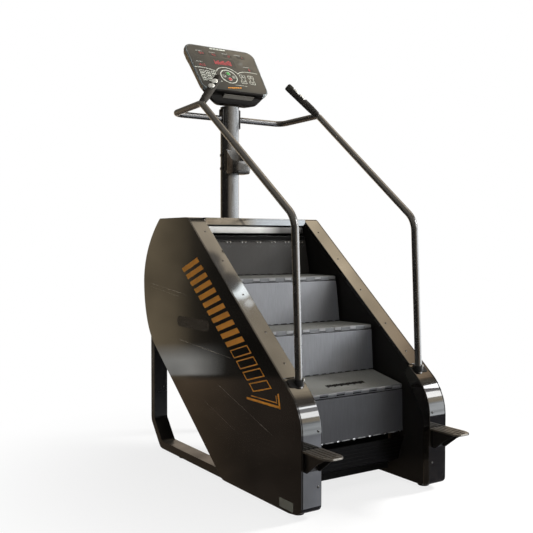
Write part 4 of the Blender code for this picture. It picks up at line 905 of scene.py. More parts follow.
# ---------------------------------------------------------------- handrails
for side, sgn in (("left", -1), ("right", 1)):
    def X(p):
        return Vector((p[0] * sgn, p[1], p[2]))
    pts = [X((RAIL_X, -0.4271, 0.400)), X((RAIL_X, -0.386, 1.210)), X(JUNCTION), X((0.339, 0.700, 1.775)), X((0.0560, 0.700, 1.775))]
    path = fillet(pts, [0.110, 0.060, 0.050], 16)
    bm = bmesh.new()
    sweep(bm, path, circle(TUBE_R, 28))
    g0, g1 = X(JUNCTION), X(GRIP_END)
    gd = (g1 - g0).normalized()
    lathe(bm, g0 + gd * 0.004, gd, [(0.0, 0.0150), (0.034, 0.0150), (0.0405, 0.0150)], 28)
    # welded joint between the rail and its grip stub
    finish_mesh(f"{side}_handrail_tube", bm, RAIL, "frame", f"{side}_handrail", slot="rail_paint", smooth=45)
    bm = bmesh.new()
    lathe(bm, g0 + gd * 0.0060, gd, [(0.0, 0.0155), (0.0020, 0.0172), (0.0200, 0.0181), (0.0380, 0.0192), (0.0400, 0.0195)], 28)
    finish_mesh(f"{side}_grip_collar", bm, GRIP, "frame", slot="grip_rubber", smooth=40)
    # rubber boot and bright clamp bolt where the rail enters the nose
    bm = bmesh.new()
    base = X((RAIL_X, -0.386, 1.210)) - X((RAIL_X, -0.4271, 0.400))
    base.normalize()
    b0 = X((RAIL_X, -0.4271, 0.400))
    t = 0.118
    lathe(bm, b0 + base * t, base, [(0.0, 0.0190), (0.018, 0.0195), (0.024, 0.0180), (0.027, 0.0165)], 28)
    mtx = Matrix.Translation((0, 0, 0))
    yc = -0.414
    cz = slope_z(yc)
    sl3, up3 = Vector((0, SLOPE.x, SLOPE.y)), Vector((0, SLOPE_UP.x, SLOPE_UP.y))
    org = Vector((0, yc, cz))
    poly = rounded_rect(0.3160, -0.0235, 0.3830, 0.0235, 0.010, 5)
    ring0 = [bm.verts.new(Vector((sgn * a, 0, 0)) + org + sl3 * c + up3 * 0.0002) for a, c in poly]
    ring1 = [bm.verts.new(Vector((sgn * a, 0, 0)) + org + sl3 * c + up3 * 0.0022) for a, c in poly]
    for i in range(len(poly)):
        j = (i + 1) % len(poly)
        bm.faces.new([ring0[i], ring0[j], ring1[j], ring1[i]])
    bm.faces.new(ring0)
    bm.faces.new(ring1)
    finish_mesh(f"{side}_rail_grommet", bm, RUBBER, "frame", slot="foot_rubber", bevel=0.0006, seg=2)
    bm = bmesh.new()
    bp = org + Vector((sgn * (0.335 - 0.006 * sgn * -1), 0, 0)) * 0 + Vector((sgn * 0.3240 if sgn < 0 else 0.3430, 0, 0)) - sl3 * 0.020
    lathe(bm, bp + up3 * 0.002, up3 * 0.35 + Vector((0, 0, 1)), [(0.0, 0.0060), (0.016, 0.0060), (0.0165, 0.0052), (0.030, 0.0050), (0.0325, 0.0036), (0.033, 0.0)], 16)
    finish_mesh(f"{side}_rail_clamp_bolt", bm, STEEL, "frame", slot="machine_steel", smooth=35)

    # grip: soft sleeve with a scooped thumb rest, two wide domed buttons
    length = (g1 - g0).length - 0.0443
    fn = X(GRIP_FACE)
    fn = (fn - gd * fn.dot(gd)).normalized()
    wid = gd.cross(fn)
    prof = [(0.0, 0.0), (0.0, 0.0125), (0.0012, 0.0155), (0.0035, 0.0180), (0.0065, 0.0193), (0.010, GRIP_R)]
    back = [0.010 + (length - 0.013) * i / 72 for i in range(1, 73)]
    prof += [(s, GRIP_R) for s in back] + [(length - 0.0008, 0.0190), (length, 0.0170), (length, 0.0)]

    def floor_h(s):
        """Height of the thumb rest over the grip axis, s from the tip."""
        if s < 0.030 or s > 0.1245:
            return 1.0
        a = smoothstep((s - 0.030) / 0.010)
        c = smoothstep((0.1240 - s) / 0.0085)
        ridge = 0.0042 * math.exp(-((s - 0.0770) / 0.0016) ** 2)
        return GRIP_R - (GRIP_R - 0.0105) * min(a, c) + ridge
    bm = bmesh.new()
    loops = []
    for s, r in prof:
        if r == 0.0:
            loops.append([bm.verts.new(g1 - gd * s)])
            continue
        h = floor_h(s)
        ring = []
        for i in range(48):
            t = 2 * math.pi * i / 48
            u_, w_ = r * math.cos(t), r * math.sin(t)
            ring.append(bm.verts.new(g1 - gd * s + fn * min(u_, h) + wid * w_))
        loops.append(ring)
    for a, b in zip(loops, loops[1:]):
        for i in range(48):
            j = (i + 1) % 48
            if len(a) == 1:
                bm.faces.new([a[0], b[j], b[i]])
            elif len(b) == 1:
                bm.faces.new([a[i], a[j], b[0]])
            else:
                bm.faces.new([a[i], a[j], b[j], b[i]])
    finish_mesh(f"{side}_grip_sleeve", bm, GRIP, "frame", f"{side}_grip", slot="grip_rubber", smooth=42)
    for i, s in enumerate(GRIP_BUTTONS):
        c = g1 - gd * s + fn * 0.0108
        bm = bmesh.new()
        lathe(bm, c, fn, [(-0.0060, 0.0112), (0.0012, 0.0112), (0.0014, 0.0160), (0.0018, 0.0169), (0.0030, 0.0172)] + dome(0.0172, 0.0078, 8, 0.0036)[0:], 40)
        finish_mesh(f"{side}_thumb_button_{i + 1}", bm, CREAM, f"{side}_grip_button_{i + 1}", f"{side}_grip_button_{i + 1}",
                    slot="button_white", smooth=50)

# ---------------------------------------------------------------- console
def on_console(x, v, n):
    return CONSOLE_C + Vector((x, 0, 0)) + V * v + N * n


def tapered(half_low, half_high, v0, v1, r_low, r_high, k=12):
    pts = []
    for cx, cv, r, a in ((half_high - r_low, v0 + r_low, r_low, -90), (half_high - r_high, v1 - r_high, r_high, 0),
                         (r_high - half_high, v1 - r_high, r_high, 90), (r_low - half_high, v0 + r_low, r_low, 180)):
        for i in range(k + 1):
            t = math.radians(a + 90 * i / k)
            pts.append((cx + r * math.cos(t), cv + r * math.sin(t)))
    return [(x * (half_low + (half_high - half_low) * (v - v0) / (v1 - v0)) / half_high, v) for x, v in pts]


def loft(bm, sections, cap0=True, cap1=True, mi=0):
    loops = [[bm.verts.new(on_console(x, v, n)) for x, v in pts] for pts, n in sections]
    m = len(loops[0])
    for a, b in zip(loops, loops[1:]):
        for i in range(m):
            j = (i + 1) % m
            bm.faces.new([a[i], a[j], b[j], b[i]]).material_index = mi
    if cap0:
        bm.faces.new(loops[0]).material_index = mi
    if cap1:
        bm.faces.new(loops[-1]).material_index = mi
    return loops


def inset(pts, d):
    return offset(pts, d)


rim = tapered(0.2085, 0.2260, -0.1745, 0.1745, 0.046, 0.058)
bm = bmesh.new()
secs = [(inset(rim, 0.0015), -0.0203), (rim, -0.0185), (rim, -0.0075)]
for i in range(1, 7):
    t = math.pi / 2 * i / 6
    secs.append((inset(rim, 0.0085 * (1 - math.cos(t))), -0.0075 + 0.0073 * math.sin(t)))
secs.append((inset(rim, 0.0100), -0.0010))
loft(bm, secs)
bm.normal_update()
for f in bm.faces:
    # side faces take the painted warm reflection
    if abs(f.normal.x) > 0.80 and abs(f.normal.dot(N)) < 0.35:
        f.material_index = 1
    # painted shade: faces along the lower edge of the bezel take the black housing material
    c = f.calc_center_median() - CONSOLE_C
    if c.dot(V) < -0.165 and abs(c.x) < 0.165:
        f.material_index = 2
finish_mesh("console_bezel_frame", bm, [BEZEL, SHELL_SIDE_PAINTED_REFLECTION, SHELL], "frame", "console_face", slot="console_face", smooth=50)
bm = bmesh.new()
ov = inset(rim, 0.0096)
loft(bm, [(ov, -0.0012), (ov, -0.0002), (inset(ov, 0.0006), 0.0)])
finish_mesh("console_overlay_sheet", bm, FACE, "frame", slot="console_face", smooth=30)

# rear shell
bm = bmesh.new()
s_front = tapered(0.2065, 0.2240, -0.1725, 0.1725, 0.045, 0.057)
s_side = tapered(0.1980, 0.2220, -0.1745, 0.1700, 0.045, 0.056)
s_mid = tapered(0.150, 0.205, -0.206, 0.150, 0.042, 0.050)
s_back = tapered(0.105, 0.130, -0.185, 0.040, 0.032, 0.032)


def lerp_pts(a, b, t):
    return [(p[0] * (1 - t) + q[0] * t, p[1] * (1 - t) + q[1] * t) for p, q in zip(a, b)]


secs = [(s_front, -0.0204), (lerp_pts(s_front, s_side, 0.6), -0.0280), (s_side, -0.0330), (lerp_pts(s_side, s_mid, 0.5), -0.0455), (lerp_pts(s_side, s_mid, 0.86), -0.0552),
        (lerp_pts(s_mid, s_back, 0.05), -0.0612), (lerp_pts(s_mid, s_back, 0.5), -0.0800), (lerp_pts(s_mid, s_back, 0.93), -0.0960), (inset(s_back, 0.003), -0.0990)]
loft(bm, secs)
bm.normal_update()
for f in bm.faces:
    # side faces near the front take the painted warm reflection
    if abs(f.normal.x) > 0.75 and (f.calc_center_median() - CONSOLE_C).dot(N) > -0.034:
        f.material_index = 1
finish_mesh("console_rear_shell", bm, [SHELL, SHELL_SIDE_PAINTED_REFLECTION], "frame", "console_back_shell", slot="dark_plastic", smooth=38)
# pale strip set into the lower front of the housing
bm = bmesh.new()
q0 = [(-0.071, -0.1772, -0.0206), (0.117, -0.1772, -0.0206), (0.106, -0.1855, -0.0400), (-0.080, -0.1855, -0.0400)]
vs = [bm.verts.new(on_console(a, b, c)) for a, b, c in q0]
vb = [bm.verts.new(on_console(a, b + 0.0070, c)) for a, b, c in q0]
bm.faces.new(vs)
bm.faces.new(vb[::-1])
for i in range(4):
    j = (i + 1) % 4
    bm.faces.new([vs[j], vs[i], vb[i], vb[j]])
finish_mesh("console_lower_bar", bm, BAR, "frame", slot="console_face", bevel=0.0008)

H0, H1 = 0.0, 0.00045


def ink(bm, pts, mi=0, h=H1):
    """Closed printed shape on the overlay."""
    a = [bm.verts.new(on_console(x, v, -0.0001)) for x, v in pts]
    b = [bm.verts.new(on_console(x, v, h)) for x, v in pts]
    bm.faces.new(b).material_index = mi
    bm.faces.new(a[::-1]).material_index = mi
    for i in range(len(pts)):
        j = (i + 1) % len(pts)
        bm.faces.new([a[i], a[j], b[j], b[i]]).material_index = mi


def stroke(bm, pts, w, mi=0, closed=False, h=H1):
    """Printed line of even width along points."""
    if closed:
        o, i_ = offset(pts, -w / 2), offset(pts, w / 2)
        n = len(pts)
        for k in range(n):
            j = (k + 1) % n
            ink(bm, [o[k], o[j], i_[j], i_[k]], mi, h)
    else:
        o, i_ = offset(pts, -w / 2, False), offset(pts, w / 2, False)
        for k in range(len(pts) - 1):
            ink(bm, [o[k], o[k + 1], i_[k + 1], i_[k]], mi, h)


def dashes(bm, x, v, w, n, hgt, mi=0, slant=0.0):
    """Row of short printed marks standing in for a caption."""
    step = w / n
    for i in range(n):
        a = x - w / 2 + i * step
        ww = step * (0.62 if i % 3 else 0.78)
        ink(bm, [(a, v - hgt / 2), (a + ww, v - hgt / 2), (a + ww, v + hgt / 2), (a, v + hgt / 2)], mi)


SEG = {"0": "abcdef", "1": "bc", "2": "abged", "3": "abgcd", "4": "fgbc", "5": "afgcd", "6": "afgedc", "7": "abc", "8": "abcdefg", "9": "abcdfg"}


def digit(bm, ch, x, v, w, h, t, mi=0, hh=H1):
    """Seven-segment digit with its lower left corner at (x, v)."""
    s = {"a": (x, v + h - t, x + w, v + h), "d": (x, v, x + w, v + t), "g": (x, v + h / 2 - t / 2, x + w, v + h / 2 + t / 2),
         "f": (x, v + h / 2, x + t, v + h), "b": (x + w - t, v + h / 2, x + w, v + h), "e": (x, v, x + t, v + h / 2), "c": (x + w - t, v, x + w, v + h / 2)}
    g = t * 0.18
    for key in SEG[ch]:
        a, b, c, d = s[key]
        ink(bm, [(a + g, b + g), (c - g, b + g), (c - g, d - g), (a + g, d - g)], mi, hh)


# white and grey print
bm = bmesh.new()
ring = [( -0.0120 + 0.0490 * math.cos(2 * math.pi * i / 48), -0.0570 + 0.0490 * math.sin(2 * math.pi * i / 48)) for i in range(48)]
stroke(bm, ring, 0.0052, 0, True)
arc_l = bezier((-0.2060, -0.0135), (-0.1700, -0.0060), (-0.1200, -0.0100), (-0.0800, -0.0270), 14)
arc_m = bezier((-0.0800, -0.0270), (-0.0620, 0.0190), (0.0200, 0.0330), (0.0560, -0.0280), 20)
arc_r = bezier((0.0560, -0.0240), (0.0850, 0.0010), (0.1250, 0.0020), (0.1890, -0.0050), 14)
for a in (arc_l, arc_m, arc_r):
    stroke(bm, a, 0.0038, 0)
stroke(bm, [(0.0080, -0.1180), (0.0820, -0.1175)], 0.0022, 0)
ink(bm, [(-0.0717 + 0.0042 * math.cos(t * math.pi / 6), -0.1005 + 0.0042 * math.sin(t * math.pi / 6)) for t in range(12)], 0)
# number pad: three columns of four outlined keys
keys = "1234567890"
for cnt in range(12):
    x = -0.1730 + 0.0345 * (cnt // 4)
    v = -0.0390 - 0.0203 * (cnt % 4)
    stroke(bm, rounded_rect(x - 0.0125, v - 0.0080, x + 0.0125, v + 0.0080, 0.0040, 3), 0.0030, 0, True)
    if cnt < 10:
        digit(bm, keys[cnt], x - 0.0030, v - 0.0045, 0.0060, 0.0090, 0.0018, 0)
# level and programme keys: two columns of bracket shapes
for x0 in (0.0780, 0.1320):
    for k, v in enumerate((-0.0400, -0.0640, -0.0880)):
        w = 0.0170
        sk = -0.002 * k
        if k != 1:
            stroke(bm, rounded_rect(x0 - w + sk, v - 0.0095, x0 + w + sk, v + 0.0095, 0.0045, 3), 0.0026, 0, True)
            stroke(bm, [(x0 - 0.007 + sk, v), (x0 + 0.007 + sk, v)], 0.0024, 0)
            if k == 0:
                stroke(bm, [(x0 + sk, v - 0.0055), (x0 + sk, v + 0.0055)], 0.0024, 0)
        else:
            stroke(bm, bezier((x0 - w, v + 0.012), (x0 - w * 0.4, v + 0.004), (x0 - w * 0.4, v - 0.004), (x0 - w - 0.003, v - 0.012), 6), 0.0026, 0)
            stroke(bm, bezier((x0 + w, v + 0.012), (x0 + w * 0.4, v + 0.004), (x0 + w * 0.4, v - 0.004), (x0 + w - 0.003, v - 0.012), 6), 0.0026, 0)
# keys beside the start and stop buttons
for x0 in (-0.0400, 0.0180):
    stroke(bm, rounded_rect(x0 - 0.0085, -0.0640, x0 + 0.0085, -0.0480, 0.0040, 3), 0.0022, 0, True)
    ink(bm, [(x0 - 0.003, -0.0590), (x0 + 0.003, -0.0590), (x0, -0.0530)], 0)
for bx, bv in (START_XV, STOP_XV):
    stroke(bm, [(bx + 0.0128 * math.cos(2 * math.pi * i / 28), bv + 0.0128 * math.sin(2 * math.pi * i / 28)) for i in range(28)], 0.0014, 0, True)
finish_mesh("console_print_white", bm, PRINT, "frame", slot="console_face", smooth=None)
bm = bmesh.new()
for x, v in ((-0.1418, 0.1237), (-0.0591, 0.1240), (0.0225, 0.1262), (0.1050, 0.1290), (-0.1650, 0.0360), (0.1330, 0.0380)):
    dashes(bm, x, v, 0.040, 6, 0.0065)
for x in (-0.0560, -0.0350, -0.0140, 0.0070, 0.0260):
    ink(bm, [(x - 0.0088, 0.1500), (x + 0.0088, 0.1500), (x + 0.0110, 0.1610), (x - 0.0066, 0.1610)], 1)
finish_mesh("console_print_captions", bm, [PRINTD, PRINT], "frame", slot="console_face", smooth=None)
bm = bmesh.new()
for x, v, w, h in ((-0.1363, 0.1066, 0.064, 0.0200), (-0.0578, 0.1050, 0.052, 0.0200), (0.0370, 0.1090, 0.052, 0.0200), (0.1230, 0.1130, 0.052, 0.0200),
                   (-0.1560, 0.0120, 0.054, 0.0200), (0.1460, 0.0170, 0.050, 0.0190)):
    ink(bm, rounded_rect(x - w / 2, v - h / 2, x + w / 2, v + h / 2, 0.003, 3), 0, 0.0003)
ink(bm, rounded_rect(-0.0850, 0.0220, 0.0640, 0.0850, 0.004, 3), 0, 0.0003)
finish_mesh("console_display_windows", bm, DARKINK, "frame", slot="console_face", smooth=None)
bm = bmesh.new()
for x, v, txt in ((-0.1520, 0.1000, "125"), (-0.0640, 0.0985, "40"), (0.0290, 0.1020, "12"), (0.1230, 0.1060, "1"), (-0.1700, 0.0045, "286"), (0.1410, 0.0105, "8")):
    for i, ch in enumerate(txt):
        digit(bm, ch, x + 0.0125 * i, v, 0.0092, 0.0150, 0.0024, 0, 0.0008)
# dot-matrix profile: columns of lit rows
heights = [6, 4, 5, 6, 4, 5, 6, 6, 4, 5, 6, 7, 6]
for i, hh in enumerate(heights):
    for j in range(hh):
        x = -0.0690 + 0.0085 * i
        v = 0.0330 + 0.0056 * j
        ink(bm, [(x, v), (x + 0.0062, v), (x + 0.0062, v + 0.0036), (x, v + 0.0036)], 0, 0.0008)
finish_mesh("console_led_segments", bm, LED, "frame", slot="button_red", smooth=None)
# small orange stripe group under the keys
bm = bmesh.new()
for i in range(7):
    x = -0.0500 + 0.0130 * i
    v = -0.1470 + 0.0018 * i
    ink(bm, [(x, v - 0.0035), (x + 0.0090, v - 0.0035), (x + 0.0115, v + 0.0035), (x + 0.0025, v + 0.0035)])
finish_mesh("console_orange_marks", bm, ORANGE, "frame", slot="console_face", smooth=None)
for nm, (bx, bv), mat_, sl in (("start", START_XV, GREEN, "button_green"), ("stop", STOP_XV, RED, "button_red")):
    bm = bmesh.new()
    lathe(bm, on_console(bx, bv, -0.0060), N, [(0.0, 0.0102), (0.0072, 0.0102), (0.0079, 0.0098), (0.0083, 0.0085), (0.0082, 0.0060), (0.0079, 0.0)], 32)
    finish_mesh(f"console_{nm}_button_cap", bm, mat_, f"{nm}_button", f"{nm}_button", slot=sl, smooth=40)

# ---------------------------------------------------------------- decals: generic stripes, oval and plate
def side_point(s, h, t):
    """Point on the left panel: s down the slope from its top, h below the slope line, t proud of the sheet."""
    top = Vector((TOP_FRONT_Y, TOP_Z))
    p = top - SLOPE * s - SLOPE_UP * h
    return Vector((-HALF_W - t, p.x, p.y))


def decal(bm, pts, mi=0):
    a = [bm.verts.new(side_point(s, h, 0.00005)) for s, h in pts]
    b = [bm.verts.new(side_point(s, h, 0.0004)) for s, h in pts]
    bm.faces.new(b).material_index = mi
    bm.faces.new(a[::-1]).material_index = mi
    for i in range(len(pts)):
        j = (i + 1) % len(pts)
        bm.faces.new([a[i], a[j], b[j], b[i]]).material_index = mi


def bar(bm, s, w, h0, h1, lean=0.020, mi=0):
    decal(bm, [(s, h0), (s + w, h0), (s + w + lean, h1), (s + lean, h1)], mi)


def band(s0, w, lean=-0.086, h0=0.0870, h1=0.2300, t=None):
    """Slanted stripe between two depths; t makes it an outline."""
    q = [(s0, h0), (s0 + w, h0), (s0 + w + lean, h1), (s0 + lean, h1)]
    if t is None:
        decal(bm, q)
        return
    inner_ = offset(q, t)
    if abs(inner_[0][0] - q[0][0]) > 0 and inner_[0][1] < q[0][1]:
        inner_ = offset(q, -t)
    for i in range(4):
        j = (i + 1) % 4
        decal(bm, [q[i], q[j], inner_[j], inner_[i]])


bm = bmesh.new()
# solid stripes, then outlined ones, then an arrow head
s = 0.205
for i in range(11):
    band(s, 0.031, h1=0.2320 - 0.0018 * i)
    s += 0.0535
for i in range(4):
    band(s, 0.050, h1=0.2110 - 0.0020 * i, t=0.0050)
    s += 0.0680
tip = Vector((1.1445, 0.1030))
for q0_, q1_, w_ in (((1.0960, 0.0640), (1.1445, 0.1030), 0.0100), ((1.1445, 0.1030), (0.9450, 0.2700), 0.0100), ((1.0880, 0.0840), (1.1130, 0.1045), 0.0040), ((1.1130, 0.1045), (0.9600, 0.2330), 0.0040)):
    d_ = (Vector(q1_) - Vector(q0_)).normalized()
    n_ = Vector((-d_.y, d_.x)) * w_
    a_, b_ = Vector(q0_), Vector(q1_) + d_ * 0.001
    decal(bm, [tuple(a_), tuple(b_), tuple(b_ + n_ * (1 if n_.x < 0 else -1)), tuple(a_ + n_ * (1 if n_.x < 0 else -1))])
finish_mesh("left_panel_orange_stripes", bm, ORANGE, "frame", slot="gloss_panel", smooth=None)


def plate_on_side(bm, pts, t0, t1, mi=0):
    a = [bm.verts.new((-HALF_W - t0, y, z)) for y, z in pts]
    b = [bm.verts.new((-HALF_W - t1, y, z)) for y, z in pts]
    bm.faces.new(b).material_index = mi
    bm.faces.new(a[::-1]).material_index = mi
    for i in range(len(pts)):
        j = (i + 1) % len(pts)
        bm.faces.new([a[i], a[j], b[j], b[i]]).material_index = mi


bm = bmesh.new()
plate_on_side(bm, rounded_rect(0.215, 0.682, 0.545, 0.735, 0.026, 10), 0.00005, 0.0003)
finish_mesh("left_panel_smoked_oval", bm, GHOST, "frame", slot="gloss_panel", smooth=None)
bm = bmesh.new()
plate_on_side(bm, rounded_rect(-0.4720, 0.0220, -0.3760, 0.0600, 0.003, 3), 0.00005, 0.0010)
finish_mesh("left_panel_blank_plate", bm, LABEL, "frame", slot="machine_steel", smooth=None)

# ---------------------------------------------------------------- screws on trims and noses
bm = bmesh.new()
for sgn in (-1, 1):
    for x, y in ((0.345, 0.352), (0.345, 0.182), (0.345, 0.000), (0.345, -0.185), (0.345, -0.328)):
        p = Vector((sgn * x, y, slope_z(y)))
        screw(bm, p, (0, SLOPE_UP.x, SLOPE_UP.y), 0.0050, 0.0016)
    for z in (0.352, 0.127):
        screw(bm, (sgn * 0.3170, FRONT_Y, z), (0, -1, 0), 0.0050, 0.0020)
finish_mesh("trim_screws", bm, [CHAIN, SHADOW], "frame", slot="machine_steel", smooth=30)

# ---------------------------------------------------------------- foot pedals
for side, sgn in (("left", -1), ("right", 1)):
    plate = [(0.302, -0.5295), (0.397, -0.5295), (0.3995, -0.650), (0.385, -0.683), (0.368, -0.690), (0.322, -0.690), (0.306, -0.676), (0.302, -0.655)]
    poly = soften([(x * sgn, y) for x, y in plate], [(x * sgn, y) for x, y in plate[2:]], 0.012, 4)
    bm = bmesh.new()
    prism(bm, poly, 2, 0.2760, 0.2836)
    # raised tread ribs along the length
    for i in range(4):
        x = 0.3180 + 0.0210 * i
        x0, x1 = mx(sgn, x - 0.0065, x + 0.0065)
        yf = -0.676 if 0 < i < 3 else -0.655
        box(bm, (x0, yf, 0.2834), (x1, -0.5350, 0.2858))
    finish_mesh(f"{side}_pedal_plate", bm, PEDAL, "frame", f"{side}_foot_pedal", slot="pedal_steel", bevel=0.0010, seg=2)
    bm = bmesh.new()
    lo, hi = mx(sgn, 0.318, 0.386)
    wall = 0.004
    side_prof = [(-0.5293, 0.2758), (-0.5293, 0.1950), (-0.5450, 0.1950), (-0.6100, 0.2450), (-0.6650, 0.2758)]
    prism(bm, side_prof, 0, lo, lo + wall)
    prism(bm, side_prof, 0, hi - wall, hi)
    prism(bm, [(-0.5293, 0.2758), (-0.5293, 0.1950), (-0.5333, 0.1950), (-0.5333, 0.2758)], 0, lo + wall, hi - wall)
    lathe(bm, ((lo + hi) / 2, -0.5333, 0.2300), (0, -1, 0), [(0.0, 0.0085), (0.004, 0.0085), (0.0055, 0.0070), (0.0055, 0.0)], 18)
    finish_mesh(f"{side}_pedal_bracket", bm, FRAMEP, "frame", slot="frame_paint", bevel=0.0010, seg=2)
    # pale strip along the pedal's front edge
    bm = bmesh.new()
    x0, x1 = mx(sgn, 0.3235, 0.3675)
    box(bm, (x0, -0.6904, 0.2772), (x1, -0.6866, 0.2842))
    finish_mesh(f"{side}_pedal_pale_front_edge", bm, PEDALEDGE, "frame", slot="pedal_steel", bevel=0.0008, seg=2)

# ---------------------------------------------------------------- levelling feet
for nm, (fx, fy) in (("front_left_foot", (-0.352, -0.440)), ("front_right_foot", (0.352, -0.440)), ("rear_left_foot", (-0.354, 0.560)), ("rear_right_foot", (0.354, 0.560))):
    bm = bmesh.new()
    lathe(bm, (fx, fy, 0.0), (0, 0, 1), [(0.0, 0.0230), (0.0010, 0.0250), (0.0030, 0.0260), (0.0065, 0.0260), (0.0082, 0.0248), (0.0098, 0.0200), (0.0110, 0.0130)], 40, 0)
    rings = [(0.0108, 0.0098), (0.0112, 0.0104), (0.0135, 0.0104), (0.0136, 0.0058)]
    lathe(bm, (fx, fy, 0.0), (0, 0, 1), rings, 6, 1)
    th = [(0.0134, 0.0052)]
    z = 0.0140
    while z < 0.0390:
        th += [(z, 0.0060), (z + 0.0006, 0.0052)]
        z += 0.0012
    th.append((0.0400, 0.0048))
    lathe(bm, (fx, fy, 0.0), (0, 0, 1), th, 20, 1)
    finish_mesh(f"{nm}_pad", bm, [RUBBER, STEEL], nm, nm, slot="foot_rubber", smooth=35)

# ---------------------------------------------------------------- finishes for the CAD nodes that stay
# return_steps take the near-black painted shade; riser_0 takes the painted-shade copy of the riser metal
KEEP = {
    "inner_wall": INNER, "front_kick_cover": KICKM, "base_rail": FRAMEP, "frame_truss": FRAMEP, "cross_beam": INNER,
    "upper_bridge_frame": INNER, "return_steps": SHADOW, "bearing": CHAIN, "shaft": CHAIN, "pulley": CHAIN, "step_chain": CHAIN,
    "drive_belt": BELTM, "brake_unit": BRAKEM, "control_board": PCB, "riser_0": STEP_TOP_SHADED, "riser_1": STEP, "riser_2": STEP, "riser_3": STEP3, "tread_": TREAD,
}
for name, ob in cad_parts.items():
    for key, mm in KEEP.items():
        if key in name:
            ob.data.materials.clear()
            ob.data.materials.append(mm)
            break
for side in ("left", "right"):
    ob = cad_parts[f"{side}_base_rail"]
    md = ob.modifiers.new("edge", "BEVEL")
    md.width, md.segments, md.limit_method, md.angle_limit = 0.003, 3, "ANGLE", math.radians(50)

# ---------------------------------------------------------------- floor, light, camera
bm = bmesh.new()
bmesh.ops.create_grid(bm, x_segments=2, y_segments=2, size=14.0)
me = bpy.data.meshes.new("floor")
bm.to_mesh(me)
bm.free()
floor = bpy.data.objects.new("floor", me)
floor.location = (0, 0, -0.0005)
scene.collection.objects.link(floor)
fm = basic("pale floor", (0.88, 0.88, 0.88), 0.75, vary=0.015, scale=2.0, bump=(60, 0.02, 0.0005), spec=0.1)
fnt = fm.node_tree
ftc = fnt.nodes.new("ShaderNodeTexCoord")
fle = fnt.nodes.new("ShaderNodeVectorMath")
fle.operation = "LENGTH"
fnt.links.new(ftc.outputs["Object"], fle.inputs[0])
fem = fnt.nodes.new("ShaderNodeEmission")
fem.inputs["Color"].default_value = (1, 1, 1, 1)
fem.inputs["Strength"].default_value = 1.0
fmx = fnt.nodes.new("ShaderNodeMixShader")
fr = ramp_node(fnt, remap(fnt, fle.outputs["Value"], 0.55, 1.9, 0.0, 1.0), [(0.0, (0.80, 0.80, 0.80)), (1.0, (1, 1, 1))], "EASE")
flp = fnt.nodes.new("ShaderNodeLightPath")
fnt.links.new(math_node(fnt, "MULTIPLY", fr.outputs["Color"], flp.outputs["Is Camera Ray"]), fmx.inputs[0])
fnt.links.new(fnt.nodes["Principled BSDF"].outputs[0], fmx.inputs[1])
fnt.links.new(fem.outputs[0], fmx.inputs[2])
fnt.links.new(fmx.outputs[0], fnt.nodes["Material Output"].inputs["Surface"])
floor.data.materials.append(fm)
floor.visible_glossy = False

# Room seen only in reflections: warm wall behind the machine, a bright window to its front right, a lit ceiling.
w = bpy.data.worlds.new("studio")
scene.world = w
w.use_nodes = True
nt = w.node_tree
nt.nodes.clear()
out_ = nt.nodes.new("ShaderNodeOutputWorld")
lp = nt.nodes.new("ShaderNodeLightPath")
tc = nt.nodes.new("ShaderNodeTexCoord")
sp = nt.nodes.new("ShaderNodeSeparateXYZ")
nt.links.new(tc.outputs["Generated"], sp.inputs[0])
az = math_node(nt, "MULTIPLY", math_node(nt, "ARCTAN2", sp.outputs["X"], math_node(nt, "MULTIPLY", sp.outputs["Y"], -1.0)), 180 / math.pi)
el = math_node(nt, "MULTIPLY", math_node(nt, "ARCSINE", sp.outputs["Z"]), 180 / math.pi)
PEAK = 16.0


def by_angle(source, lo, hi, stops, interp="LINEAR"):
    """Radiance against an angle in degrees."""
    return ramp_node(nt, remap(nt, source, lo, hi, 0.0, 1.0), [((a_ - lo) / (hi - lo), tuple(c / PEAK for c in c3)) for a_, c3 in stops], interp).outputs["Color"]


def gate(source, a0, a1, b0, b1):
    """1 between a1 and b0, falling to 0 at a0 and b1."""
    return math_node(nt, "MULTIPLY", remap(nt, source, a0, a1, 0.0, 1.0), remap(nt, source, b0, b1, 1.0, 0.0), True)


BROWN, DIM, BLUE = (0.40, 0.32, 0.21), (0.030, 0.027, 0.023), (2.30, 2.42, 2.50)
level = by_angle(az, -180, 180, [(-180, BROWN), (-153.8, BROWN), (-151.6, (0.05, 0.044, 0.036)), (-146, DIM), (-28, DIM), (0, (0.55, 0.47, 0.37)), (22, (0.95, 0.84, 0.70)), (31.2, (1.15, 1.05, 0.92)),
                                 (33.6, BLUE), (70, (3.4, 3.5, 3.6)), (112, (1.6, 1.6, 1.6)), (128, (1.9, 1.6, 1.25)), (156, (1.9, 1.55, 1.2)), (180, BROWN)])
below = by_angle(az, -180, 180, [(-180, (0.30, 0.22, 0.15)), (-153.0, (0.28, 0.20, 0.13)), (-148.5, (0.09, 0.07, 0.055)), (28, (0.08, 0.07, 0.06)), (33, (1.4, 1.45, 1.55)), (40.5, (1.3, 1.35, 1.5)),
                                 (42.2, (0.08, 0.08, 0.10)), (180, (0.12, 0.11, 0.10))])
glass = by_angle(el, 10, 50, [(10, BLUE), (14.0, (1.6, 1.4, 1.1)), (19.0, (1.9, 1.7, 1.4)), (20.5, (1.9, 1.8, 1.6)), (29.5, (1.9, 1.8, 1.7)), (31.0, (2.2, 2.2, 2.3)), (35.0, (1.2, 1.2, 1.2)),
                              (36.2, (1.2, 1.2, 1.2)), (39.0, (1.2, 1.2, 1.2)), (40.2, (0.9, 0.85, 0.8)), (42.0, (0.35, 0.32, 0.28)), (50, (0.25, 0.22, 0.18))])
